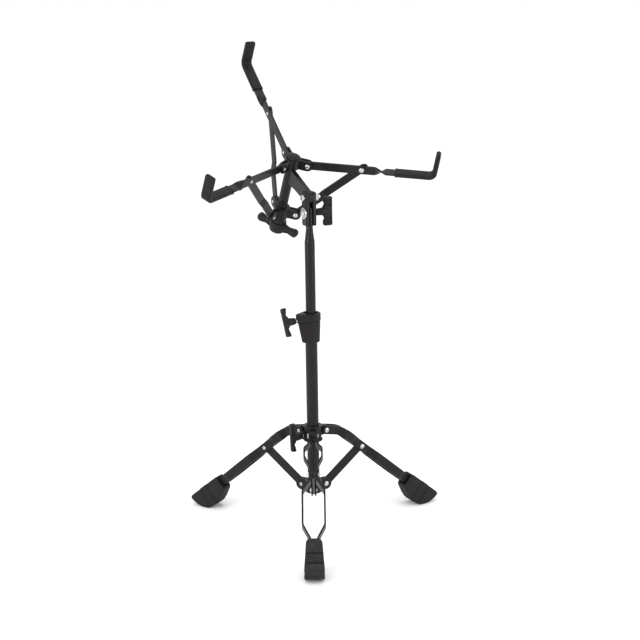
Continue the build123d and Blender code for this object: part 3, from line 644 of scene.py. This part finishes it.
def share_setting(name, description, default):
    return FloatProperty(
        name=name, description=description, default=default, min=0, max=1, subtype="FACTOR",
    )


def length_setting(name, description, default, least, most):
    """A length given in millimetres."""
    return FloatProperty(
        name=name, description=description, default=default * MM, min=least * MM, max=most * MM,
        unit="LENGTH", precision=4,
    )


def power_setting(name, description, default):
    return FloatProperty(
        name=name, description=description, default=default, min=0, max=500, unit="POWER",
    )


class StandFinish(bpy.types.PropertyGroup):
    steel_color: color_setting(
        "Steel", "Powder coat on tubes and strips", (0.0068, 0.0058, 0.0063),
    )
    rubber_color: color_setting(
        "Rubber", "Boots, and the darker sleeves", (0.0125, 0.0112, 0.0118),
    )
    plastic_color: color_setting(
        "Plastic", "Grips, nut and height collar", (0.0082, 0.0070, 0.0075),
    )
    zinc_color: color_setting("Zinc", "Rivets, screws and washer", (0.52, 0.51, 0.5))
    steel_roughness: share_setting("Steel roughness", "Roughness of the pressed strips", 0.34)
    tube_roughness: share_setting("Tube roughness", "Roughness of the tubes", 0.2)


class StandSizes(bpy.types.PropertyGroup):
    rivet_head: length_setting("Rivet head radius", "Radius of the domed rivet heads", 4.3, 3, 5)
    rivet_dome: length_setting("Rivet head height", "How far the domes stand up", 2.3, 1, 3)
    clinch: length_setting("Clinched end radius", "Radius of the rolled rivet ends", 3.7, 3, 4.3)
    rivet_segments: IntProperty(
        name="Rivet segments", description="Sides of each rivet", default=32, min=12, max=64,
    )
    screw_pitch: length_setting(
        "Screw pitch", "Pitch of the wing screws and the tilt bolt", 1, 0.5, 2,
    )
    post_pitch: length_setting("Post pitch", "Pitch of the basket post's thread", 3, 1.5, 4)
    boot_groove: length_setting(
        "Boot groove depth", "Depth of the two grooves round each boot", 1.7, 0, 2,
    )
    grip_recess: length_setting("Grip recess", "Depth of the wing grips' pockets", 1.9, 0, 2.5)
    parting_line: length_setting(
        "Parting line depth", "Depth of the lines moulded in the height collar", 0.7, 0, 1,
    )


class StandStage(bpy.types.PropertyGroup):
    floor_color: color_setting("Floor", "Colour of the floor sheet", (0.96, 0.96, 0.96))
    surround: FloatProperty(
        name="Surround", description="Brightness of the white surroundings", default=1.04,
        min=0, max=3,
    )
    key_power: power_setting("Key light", "Power of the large front light", 16)
    strip_power: power_setting("Strip lights", "Power of the tall light on the left", 14)
    lens: FloatProperty(
        name="Lens", description="Focal length of the camera in millimetres", default=94.2,
        min=20, max=300,
    )


# ---------------------------------------------------------------- operators
class STAND_OT_tubes(bpy.types.Operator):
    """Paint the main tube, the mast and the fittings inside the height collar"""

    bl_idname = "drum_stand.tubes"
    bl_label = "Tubes"

    def execute(self, context):
        paint_nodes(tube_paint(), "lower_tube", "upper_tube")
        paint_nodes(moulded_plastic(), "tube_end_cap")
        paint_nodes(nylon(), "collar_bushing")
        paint_nodes(turned_brass(), "height_pressure_shoe")
        return {"FINISHED"}


class STAND_OT_tripod(bpy.types.Operator):
    """Paint the tripod's collars, leg strips and braces"""

    bl_idname = "drum_stand.tripod"
    bl_label = "Tripod"

    def execute(self, context):
        paint_nodes(steel_paint(), "lower_brace_collar", "upper_leg_collar")
        for leg in LEGS:
            paint_nodes(
                steel_paint(), f"{leg}_leg_front_strip", f"{leg}_leg_back_strip", f"{leg}_brace",
            )
            paint_nodes(nylon(), f"{leg}_leg_washers")
        return {"FINISHED"}


class STAND_OT_basket(bpy.types.Operator):
    """Paint the tilter, the basket's bracket, hub and slider, and its arms and links"""

    bl_idname = "drum_stand.basket"
    bl_label = "Tilter and basket"

    def execute(self, context):
        paint_nodes(
            steel_paint(), "left_tilter_cheek", "right_tilter_cheek", "basket_bracket",
            "basket_hub", "basket_slider",
        )
        paint_nodes(moulded_plastic(), "hub_cap")
        paint_nodes(bright_zinc(), "tilt_pivot_bolt", "tilt_pivot_nut", "tilt_bolt_washer")
        for arm in ARMS:
            paint_nodes(steel_paint(), f"{arm}_arm", f"{arm}_link")
        return {"FINISHED"}


class STAND_OT_rivets(bpy.types.Operator):
    """Add the plated rivets of the tripod and the basket"""

    bl_idname = "drum_stand.rivets"
    bl_label = "Rivets"

    def execute(self, context):
        outer = STRIP_STAND_OFF + STRIP_THICKNESS / 2
        clear = STRIP_THICKNESS / 2 + 0.2 * MM
        braces = [pivot(f"{leg}_brace_fold") for leg in LEGS]
        legs = [pivot(f"{leg}_leg_fold") for leg in LEGS]
        arms = [pivot(f"{arm}_arm_fold") for arm in ARMS]
        links = [pivot(f"{arm}_link_fold") for arm in ARMS]
        groups = [
            ("lower_brace", "base", braces, COLLAR_EAR, COLLAR_EAR, "lower_brace_rivets"),
            ("leg_collar", "leg_collar", legs, outer + 0.1 * MM, outer, "leg_collar_rivets"),
            ("hub", "basket", arms, EAR_OUTER, EAR_OUTER, "hub_rivets"),
            ("slider", "slider", links, EAR_OUTER, EAR_OUTER, "basket_slider_rivets"),
        ]
        for leg in LEGS:
            hinge = leg_frame(leg)
            at_hinge = [(hinge.translation, hinge.to_3x3().col[2])]
            groups.append(
                (f"{leg}_leg", f"{leg}_leg", at_hinge, outer, outer - clear, f"{leg}_leg_rivet")
            )
        for name, body, pivots, stand_off, shank, node in groups:
            turn = -1 if name == "leg_collar" else 1
            sides = [(at, axis * turn) for at, axis in pivots]
            heads = [(at + side * stand_off, side) for at, side in sides]
            clinched = [(at - side * stand_off, -side) for at, side in sides]
            self.add_ends(f"{name}_rivet_heads", False, heads, shank, body, node)
            self.add_ends(f"{name}_rivet_ends", True, clinched, shank, body)
        for arm in ARMS:
            self.add_link_rivet(arm)
        return {"FINISHED"}

    def add_ends(self, name, clinched, points, shank, body, *nodes):
        sizes = bpy.context.scene.stand_sizes
        tree = rivet_tree("Clinched rivet ends" if clinched else "Rivet heads", clinched)
        values = {
            "Head Radius": sizes.clinch if clinched else sizes.rivet_head,
            "Head Height": sizes.rivet_dome, "Shank Length": shank,
            "Segments": sizes.rivet_segments, "Material": bright_zinc(),
        }
        piece = bake_tree(name, tree, values, points)
        fit_body(piece, body, None, "zinc", *nodes)

    def add_link_rivet(self, arm):
        """The pivot between an arm and its link has one end on each of them."""
        hinge = arm_frame(arm) @ Matrix.Translation((ARM_LINK_AT, 0, 0))
        step = LINK_STEP[arm]
        out = hinge.to_3x3().col[2] * step
        at = hinge.translation
        arm_face, link_face, shank = 1.5 * MM, 4.72 * MM, 2.9 * MM
        arm_side = (at - out * arm_face, -out)
        link_side = (at + out * link_face, out)
        self.add_ends(
            f"{arm}_arm_rivet_end", step > 0, [arm_side], shank, f"{arm}_arm", f"{arm}_arm_rivet",
        )
        self.add_ends(f"{arm}_link_rivet_end", step < 0, [link_side], shank, f"{arm}_link")


class STAND_OT_screws(bpy.types.Operator):
    """Add the threaded screws, the tilt bolt and the basket's threaded post"""

    bl_idname = "drum_stand.screws"
    bl_label = "Screws and post"

    def execute(self, context):
        self.add_screw("height_screw", 10.9, 34.6)
        self.add_screw("tripod_screw", 9.7, 27.8)
        self.add_tilt_bolt()
        self.add_post()
        return {"FINISHED"}

    def add_bar(self, name, body, node, start, pitch, lengths, radius, material, slot, segments=40):
        """A bar with a threaded length and then a plain length, both in millimetres."""
        values = {
            "Radius": radius, "Pitch": pitch, "Thread Length": lengths[0] * MM,
            "Plain Length": lengths[1] * MM, "Segments": segments, "Material": material,
        }
        piece = bake_tree(name, thread_tree(), values, matrix=start)
        fit_body(piece, body, None, slot, node)

    def add_screw(self, node, start, length):
        at, axis = pivot(f"{node}_turn")
        origin = at - axis * at.dot(axis) + axis * start * MM
        self.add_bar(
            f"{node}_thread", node, node, place(origin, UP, axis),
            bpy.context.scene.stand_sizes.screw_pitch, (length * 0.7, length * 0.3), SCREW_R,
            bright_zinc(), "zinc",
        )

    def add_tilt_bolt(self):
        at, axis = pivot("tilt_nut_turn")
        middle = at - axis * TILT_NUT_REACH
        free_end = middle + axis * 33 * MM
        under_head = middle - axis * 10.35 * MM
        self.add_bar(
            "tilt_bolt_thread", "mast", "tilt_bolt", place(free_end, UP, -axis),
            bpy.context.scene.stand_sizes.screw_pitch, (22, 21.3), SCREW_R, bright_zinc(), "zinc",
        )
        head = Shell()
        profile = [(0, 3.0), (3.4, 2.95), (4.8, 2.4), (5.5, 1.4), (5.6, 0), (0, 0)]
        head.add_turned(profile, 48)
        mesh = head.finish(place(under_head, UP, -axis), 50)
        fit_body(add_object("tilt_bolt_head", mesh), "mast", bright_zinc(), "zinc")

    def add_post(self):
        up = Vector(JOINTS["slider_lift"]["axis"])
        hub = sum((pivot(f"{arm}_arm_fold")[0] for arm in ARMS), Vector()) / 3
        lower_end = hub - up * 133 * MM
        self.add_bar(
            "basket_post_thread", "basket", "basket_post",
            place(lower_end, Vector((1, 0, 0)), up),
            bpy.context.scene.stand_sizes.post_pitch, (61, 77), POST_R, steel_paint(),
            "black_steel", 56,
        )


class STAND_OT_boots(bpy.types.Operator):
    """Add the three grooved rubber boots"""

    bl_idname = "drum_stand.boots"
    bl_label = "Boots"

    def execute(self, context):
        groove = context.scene.stand_sizes.boot_groove / MM
        for leg in LEGS:
            boot = add_object(f"{leg}_boot", self.boot_mesh(leg_frame(leg), groove))
            fit_body(boot, f"{leg}_leg", boot_rubber(), "rubber", f"{leg}_foot")
        return {"FINISHED"}

    def boot_mesh(self, leg, groove):
        """Sections square to the leg from the mouth to the toe, then a socket round the strips.

        Every size here is in millimetres. Stations run down the leg from the boot's mouth.
        """
        length = 63.6
        mouth_half = 12.5
        sole_half = 15.75
        taper = 3.75 / 57
        groove_half = 1.7
        first_groove, second_groove = 25.0, 40.6
        mouth = FOOT_MOUTH / MM
        sole = arc_points((19.8, -19.9), (33.7, -22.4), (46.7, -20.4), 8)
        toe_face = arc_points((52.7, -15.1), (61.0, -1.8), (length, 13.4), 16)
        under = [(0, -mouth_half), *sole, (46.7, -20.4), *toe_face, (length, 13.4)]
        stations = sorted(
            {k * 1.6 for k in range(33)} | {23.5 + k * 0.4 for k in range(9)}
            | {27.6 + k * 0.4 for k in range(36)} | {s for s, _ in toe_face} | {63.45}
        )
        rings = []
        for s in stations:
            high = mouth_half + 0.9 * s / length - 2.2 * smooth_step(s, length - 4.5, length) ** 2
            low = min(along_points(under, s), high - 0.6)
            middle = (low + high) / 2
            flare = 1.0 - smooth_step(s, 0.0, 5.5)
            band = smooth_step(s, 25.6, 27.2) * (1 - smooth_step(s, 38.8, 40.4))
            cut = max(dip(s, first_groove, groove_half), dip(s, second_groove, groove_half))
            ribs = sum(dip(s, 29.5 + 3.6 * k, 1.5) for k in range(3))
            inset = cut * groove - 0.45 * band + 0.54 * ribs + 0.9 * flare**2
            pull_in = 1 - inset / 15
            corner = 4.2 - 2.2 * smooth_step(s, 2, 22)
            chamfer = 1.6 * max(0.0, 1 - s / 4.0)
            ring = []
            for height, width in rounded_box_ring(low, high, sole_half, corner, 6):
                drop = (mouth + s) * sin(LEG_SLOPE) - height * cos(LEG_SLOPE)
                above_floor = BRACE_RIVET[1] / MM - drop
                half = sole_half - taper * (above_floor + 1) - chamfer
                clear_of_floor = min(1.0, max(0.0, above_floor / 2.5))
                y = middle + (height - middle) * (1 - (1 - pull_in) * clear_of_floor)
                ring.append(Vector((mouth + s, y, width / sole_half * half * pull_in)) * MM)
            rings.append(ring)
        for depth, size in ((0.0, 8.9), (1.2, 8.75), (9.0, 8.6)):
            rings.insert(0, [
                Vector((mouth + depth, height, width)) * MM
                for height, width in rounded_box_ring(-size, size, size, 1.6, 6)
            ])
        shell = Shell()
        shell.add_rings(rings)
        return shell.finish(leg, 38)


class STAND_OT_sleeves(bpy.types.Operator):
    """Add the rubber sleeves that cover the arms' ends"""

    bl_idname = "drum_stand.sleeves"
    bl_label = "Arm sleeves"

    def execute(self, context):
        for arm in ARMS:
            sleeve = add_object(f"{arm}_sleeve", self.sleeve_mesh(arm_frame(arm)))
            fit_body(sleeve, f"{arm}_arm", sleeve_rubber(), "rubber", f"{arm}_arm_sleeve")
        return {"FINISHED"}

    def sleeve_mesh(self, arm):
        """Sections along the arm, round the bend and up the tip, in millimetres."""
        bend = 9.0
        tip_length = 43.0
        past_cuff = 50.0
        half_turn = TIP_TURN / 2
        cut = bend * sin(half_turn) / cos(half_turn)
        stations = []
        straight = ARM_ELBOW / MM - cut
        start = SLEEVE_START / MM
        for s in (0, 0.5, 1.2, 2.4, 3.0, 3.6, 4.2, 6.0, *range(10, int(straight - start), 5)):
            stations.append((Vector((start + s, 0, 0)), 0.0, s))
        centre = Vector((straight, bend, 0))
        for k in range(17):
            angle = TIP_TURN * k / 16
            point = centre + Vector((sin(angle), -cos(angle), 0)) * bend
            stations.append((point, angle, past_cuff))
        out = Vector((cos(TIP_TURN), sin(TIP_TURN), 0))
        begin = stations[-1][0]
        run = tip_length - cut
        tip = 3.7
        for s in [k * (run - tip) / 5 for k in range(1, 6)]:
            stations.append((begin + out * s, TIP_TURN, past_cuff))
        rings = [self.ring(point, angle, s, 0.0) for point, angle, s in stations]
        for k in range(1, 8):
            share = k / 7.02
            point = begin + out * (run - tip + tip * sin(share * pi / 2))
            rings.append(self.ring(point, TIP_TURN, past_cuff, 1 - cos(share * pi / 2)))
        shell = Shell()
        shell.add_rings(rings)
        return shell.finish(arm, 50)

    def ring(self, point, angle, s, closing):
        """A rounded section square to the arm, with a cuff near its start and a moulding line."""
        cuff = 0.35 * (1 - smooth_step(s, 2.4, 3.4)) - 0.25 * dip(s, 3.6, 0.7)
        start_round = 0.5 * (1 - smooth_step(s, 0.0, 1.2))
        half_thick = 3.7 + cuff - start_round
        half_width = 8.5 + cuff - start_round
        side = Vector((-sin(angle), cos(angle), 0))
        ring = []
        for height, width in rounded_box_ring(-half_thick, half_thick, half_width, 2.9, 6):
            height *= 1 - closing
            width = (abs(width) - closing * 3.7) * (1 if width > 0 else -1) if closing else width
            ring.append((point + side * height + UP * width) * MM)
        return ring


class STAND_OT_grips(bpy.types.Operator):
    """Add the three T-shaped wing grips"""

    bl_idname = "drum_stand.grips"
    bl_label = "Wing grips"

    def execute(self, context):
        recess = context.scene.stand_sizes.grip_recess / MM
        for name, node, body, origin, span, sizes in self.grips():
            _, axis = pivot(f"{body}_turn")
            mesh = self.grip_mesh(place(origin, span, axis), *sizes, recess)
            fit_body(add_object(name, mesh), body, moulded_plastic(), "black_plastic", node)
        return {"FINISHED"}

    def grips(self):
        """Name, CAD node, body, origin, span direction and (hub start, blade centre, depth)."""
        found = []
        for screw, lean, sizes in (
            ("height", 24, (28.5, 43.0, 11.0)), ("tripod", 5, (20.5, 35.0, 11.0)),
        ):
            at, axis = pivot(f"{screw}_screw_turn")
            span = Matrix.Rotation(radians(lean), 3, axis) @ UP
            node = f"{screw}_wing_grip"
            origin = at - axis * at.dot(axis)
            found.append((f"{node}_body", node, f"{screw}_screw", origin, span, sizes))
        at, axis = pivot("tilt_nut_turn")
        origin = at - axis * TILT_NUT_REACH
        found.append(
            ("tilt_wing_nut_grip", "tilt_wing_nut", "tilt_nut", origin, UP, (9.05, 31.0, 14.0))
        )
        return found

    def grip_mesh(self, matrix, hub_start, blade_centre, depth, recess):
        """Sections along the span, X, each reaching along the screw, Z, and across it, Y."""
        end = 22.5
        back = blade_centre - depth / 2
        front = blade_centre + depth / 2
        stations = sorted(
            {round(k * 0.5, 2) for k in range(-42, 43)} | {-end, -22.3, -21.8, 21.8, 22.3, end}
        )
        rings = []
        for t in stations:
            reach = abs(t)
            near_end = max(0.0, (reach - (end - 2.2)) / 2.2)
            rounding = 2.0 * (1 - (1 - near_end**2) ** 0.5)
            notch = 2.2 * (0.5 + 0.5 * cos(pi * min(abs(reach - 11.5) / 5.5, 1.0)))
            low = back - 0.8 + notch * 1.1 + 0.8 * smooth_step(reach, 14, 18) + rounding
            high = front - rounding
            half = 4.0 - rounding * 0.75 - 0.35 * (1 - smooth_step(reach, 0, 22))
            across = smooth_step(reach, 8.4, 9.6) * (1 - smooth_step(reach, 17.6, 18.8))
            points = []
            for along, wide in self.densify(rounded_box_ring(low, high, half, 1.6, 4)):
                if abs(wide) > half * 0.8:
                    rise = smooth_step(along, low + 2.6, low + 3.5)
                    fall = 1 - smooth_step(along, high - 3.4, high - 2.5)
                    wide -= recess * across * rise * fall * (1 if wide > 0 else -1)
                points.append(Vector((t, wide, along)) * MM)
            rings.append(points)
        shell = Shell()
        shell.add_rings(rings)
        hub = [
            (3.05, hub_start), (4.6, hub_start), (5.2, hub_start + 0.6), (6.3, back + 1),
            (4.2, front - 2.2), (3.05, front - 2.2),
        ]
        shell.add_turned(hub, 48)
        button = [
            (0.0, front), (1.7, front - 0.1), (2.1, front - 0.6), (2.1, front - 1.5),
            (0.0, front - 1.5),
        ]
        shell.add_turned(button, 32)
        return shell.finish(matrix, 42)

    def densify(self, ring):
        """More points on the long flats, so that the pockets have edges to follow."""
        dense = []
        for (along, wide), (next_along, next_wide) in zip(ring, ring[1:] + ring[:1]):
            rise, run = next_along - along, next_wide - wide
            steps = 14 if abs(rise) > 4 else 1
            dense += [(along + rise * k / steps, wide + run * k / steps) for k in range(steps)]
        return dense


class STAND_OT_basket_nut(bpy.types.Operator):
    """Add the large wing nut that closes the basket"""

    bl_idname = "drum_stand.basket_nut"
    bl_label = "Basket nut"

    def execute(self, context):
        at, up = pivot("basket_nut_turn")
        top = at + up * 4.7 * MM
        span = Matrix.Rotation(radians(-52), 3, up) @ pivot("basket_tilt")[1]
        shell = Shell()
        for side in (-1, 1):
            shell.add_rings(self.wing_rings(side))
        profile = [
            (8.0, 0), (11.6, 0), (12.6, -0.5), (13, -1.6), (13, -15.8), (12.4, -17.2), (11, -18),
            (8.9, -18), (8.0, -17.4),
        ]
        shell.add_turned(profile, 72)
        nut = add_object("basket_wing_nut", shell.finish(place(top, span, up), 40))
        fit_body(nut, "basket_nut", moulded_plastic(), "black_plastic", "basket_nut")
        return {"FINISHED"}

    def wing_rings(self, side):
        """One wing, swept along X from inside the nut's wall, in millimetres."""
        upper = [
            (0, -2.6), (12, -2.4), (19, -4.1), (25, -3.3), (31, -2.1), (34.5, -3.4), (36.4, -6),
            (37, -8.5),
        ]
        lower = [
            (0, -16.6), (13, -16.2), (20, -14.4), (25, -15.7), (31, -15.9), (34.5, -14.2),
            (36.4, -11), (37, -8.7),
        ]
        rings = []
        for k in range(18, 75):
            reach = k / 2
            high = along_points(upper, reach)
            low = along_points(lower, reach)
            half = 4.5 - 0.8 * smooth_step(reach, 13, 22) + 0.8 * smooth_step(reach, 24, 32)
            half *= 1 - 0.75 * smooth_step(reach, 34.8, 37.4) ** 2
            rings.append([
                Vector((side * reach, wide, along)) * MM
                for along, wide in rounded_box_ring(low, high, half, 1.9, 5)
            ])
        return rings


class STAND_OT_height_collar(bpy.types.Operator):
    """Add the moulded collar that clamps the mast"""

    bl_idname = "drum_stand.height_collar"
    bl_label = "Height collar"

    def execute(self, context):
        line = context.scene.stand_sizes.parting_line / MM
        _, out = pivot("height_screw_turn")
        shell = Shell()
        shell.add_rings(self.collar_rings(line), closed=True)
        mesh = shell.finish(place(Vector(), out, UP), 40)
        collar = add_object("height_collar_body", mesh)
        fit_body(collar, "base", moulded_plastic(), "black_plastic", "height_collar")
        return {"FINISHED"}

    def outline(self, body_r, boss_at, boss_r):
        """Points and facings round a circle joined to a smaller one by its tangents."""
        turn = acos((body_r - boss_r) / boss_at)
        points = []
        for k in range(97):
            angle = turn + (2 * pi - 2 * turn) * k / 96
            points.append((Vector((body_r * cos(angle), body_r * sin(angle))), angle))
        for k in range(49):
            angle = -turn + 2 * turn * k / 48
            points.append((Vector((boss_at + boss_r * cos(angle), boss_r * sin(angle))), angle))
        dense = []
        for (point, facing), (ahead, _) in zip(points, points[1:] + points[:1]):
            steps = 10 if (ahead - point).length > 3 else 1
            dense += [(point.lerp(ahead, k / steps), facing) for k in range(steps)]
        return dense

    def collar_rings(self, line):
        """Levels up the outside, over the recessed top and down the two bores, in millimetres."""
        height = (COLLAR_TOP - COLLAR_BOTTOM) / MM
        cap_line = height - 11.5
        levels = [0, 0.25, 0.7, *[1.3 + k * 0.45 for k in range(97)], 45.3, 45.8, 46.2, 46.45, 46.5]
        rings = []
        for z in levels:
            share = min(z / cap_line, 1.0)
            lower = self.outline(13.4 + 1.4 * share, 8.5 + 7.0 * share, 7.0 + 0.4 * share)
            upper = self.outline(15.3, 17.6, 8.2)
            rounding = 1.2 * max(0.0, 1 - z / 1.3) ** 2 + 1.5 * max(0.0, (z - 45.0) / 1.5) ** 2
            ring = []
            for (low_point, facing), (high_point, _) in zip(lower, upper):
                around = atan2(low_point.y, low_point.x)
                cap_edge = cap_line - 2.0 * cos(around) ** 2 + 1.2 * sin(around)
                point = low_point.lerp(high_point, smooth_step(z, cap_edge - 0.25, cap_edge + 0.35))
                swoop = 20 - 17 * sin((around + 2.0) / 2)
                inset = rounding + line * max(dip(z, cap_edge - 0.5, 1.0), dip(z, swoop, 1.3))
                point = point - Vector((cos(facing), sin(facing))) * inset
                ring.append(Vector((point.x, point.y, z)))
            rings.append(ring)
        around = [atan2(point.y, point.x) for point in rings[-1]]
        recess_r, mast_bore_r, tube_bore_r = 11.2, 8.25, 9.56
        recess_floor, tube_stop = height - 1.6, 28.9
        for radius, z in (
            (recess_r, height), (recess_r, recess_floor), (mast_bore_r, recess_floor),
            (mast_bore_r, tube_stop), (tube_bore_r, tube_stop), (tube_bore_r, 0),
        ):
            rings.append([Vector((radius * cos(a), radius * sin(a), z)) for a in around])
        return [[(point + UP * COLLAR_BOTTOM / MM) * MM for point in ring] for ring in rings]


class STAND_OT_stage(bpy.types.Operator):
    """Add the floor, the soft studio light and the camera"""

    bl_idname = "drum_stand.stage"
    bl_label = "Stage"

    def execute(self, context):
        stage = context.scene.stand_stage
        half = 40.0
        below = 0.2 * MM
        corners = [(x * half, y * half, -below) for x, y in ((-1, -1), (1, -1), (1, 1), (-1, 1))]
        mesh = bpy.data.meshes.new("floor")
        mesh.from_pydata(corners, [], [(0, 1, 2, 3)])
        floor = add_object("floor_sheet", mesh)
        paper = bpy.data.materials.new("Floor sheet")
        paper.use_nodes = True
        shader = paper.node_tree.nodes["Principled BSDF"]
        shader.inputs["Base Color"].default_value = (*stage.floor_color, 1.0)
        shader.inputs["Roughness"].default_value = 0.9
        shader.inputs["Specular IOR Level"].default_value = 0.1
        floor.data.materials.append(paper)

        world = bpy.data.worlds.new("Studio")
        context.scene.world = world
        world.use_nodes = True
        sky = world.node_tree.nodes["Background"].inputs
        sky["Color"].default_value = (1.0, 1.0, 1.0, 1.0)
        sky["Strength"].default_value = stage.surround
        key, strip = stage.key_power, stage.strip_power
        for name, at, size, power in (
            ("key_panel", (-1.5, -2.0, 2.3), (1.4, 1.4), key),
            ("fill_panel", (2.2, -1.2, 1.5), (1.2, 1.8), key * 0.45),
            ("top_panel", (0.2, 0.6, 2.8), (2.0, 2.0), key * 0.6),
            ("left_strip", (-1.5, -1.1, 0.75), (0.16, 1.5), strip),
            ("right_strip", (1.5, -1.1, 0.75), (0.16, 1.5), strip * 0.7),
        ):
            self.add_light(name, at, size, power)
        self.add_camera(context, stage)
        context.scene.view_settings.view_transform = "Standard"
        return {"FINISHED"}

    def add_light(self, name, at, size, power):
        light = bpy.data.lights.new(name, "AREA")
        light.shape = "RECTANGLE"
        light.size, light.size_y = size
        light.energy = power
        lamp = bpy.data.objects.new(name, light)
        bpy.context.scene.collection.objects.link(lamp)
        lamp.location = at
        lamp.visible_camera = False
        aim = Vector((0, 0, 0.4)) - Vector(at)
        lamp.rotation_euler = aim.to_track_quat("-Z", "Y").to_euler()

    def add_camera(self, context, stage):
        """Looks at the middle of the stand from the front, a little from above."""
        data = bpy.data.cameras.new("camera")
        data.sensor_width = 36.0
        data.lens = stage.lens
        data.clip_end = 200.0
        camera = bpy.data.objects.new("camera", data)
        context.scene.collection.objects.link(camera)
        down = 0.2696
        roll = -0.0157
        distance = 2.6
        target = Vector((0.014, 0, 0.3433))
        ahead = Vector((0, cos(down), -sin(down)))
        above = Vector((0, sin(down), cos(down)))
        right = Vector((1, 0, 0)) * cos(roll) + above * sin(roll)
        camera.matrix_world = place(target - ahead * distance, right, -ahead)
        context.scene.camera = camera


class STAND_PT_panel(bpy.types.Panel):
    """Lists the stand's finishes, sizes and steps"""

    bl_idname = "STAND_PT_panel"
    bl_label = "Drum Stand"
    bl_space_type = "VIEW_3D"
    bl_region_type = "UI"
    bl_category = "Drum Stand"

    def draw(self, context):
        scene = context.scene
        for heading, group in (
            ("Finish", scene.stand_finish), ("Sizes", scene.stand_sizes),
            ("Stage", scene.stand_stage),
        ):
            box = self.layout.box()
            box.label(text=heading)
            for name in group.__annotations__:
                box.prop(group, name)
        column = self.layout.column(align=True)
        for operator in OPERATORS:
            column.operator(operator.bl_idname)


GROUPS = (("stand_finish", StandFinish), ("stand_sizes", StandSizes), ("stand_stage", StandStage))
OPERATORS = (
    STAND_OT_tubes, STAND_OT_tripod, STAND_OT_basket, STAND_OT_rivets, STAND_OT_screws,
    STAND_OT_boots, STAND_OT_sleeves, STAND_OT_grips, STAND_OT_basket_nut, STAND_OT_height_collar,
    STAND_OT_stage,
)


def register():
    for name, group in GROUPS:
        bpy.utils.register_class(group)
        setattr(bpy.types.Scene, name, PointerProperty(type=group))
    for operator in OPERATORS:
        bpy.utils.register_class(operator)
    bpy.utils.register_class(STAND_PT_panel)


def unregister():
    bpy.utils.unregister_class(STAND_PT_panel)
    for operator in reversed(OPERATORS):
        bpy.utils.unregister_class(operator)
    for name, group in reversed(GROUPS):
        delattr(bpy.types.Scene, name)
        bpy.utils.unregister_class(group)


def main():
    register()
    steps = bpy.ops.drum_stand
    steps.tubes()
    steps.tripod()
    steps.basket()
    steps.rivets()
    steps.screws()
    steps.boots()
    steps.sleeves()
    steps.grips()
    steps.basket_nut()
    steps.height_collar()
    steps.stage()


if __name__ == "__main__":
    main()
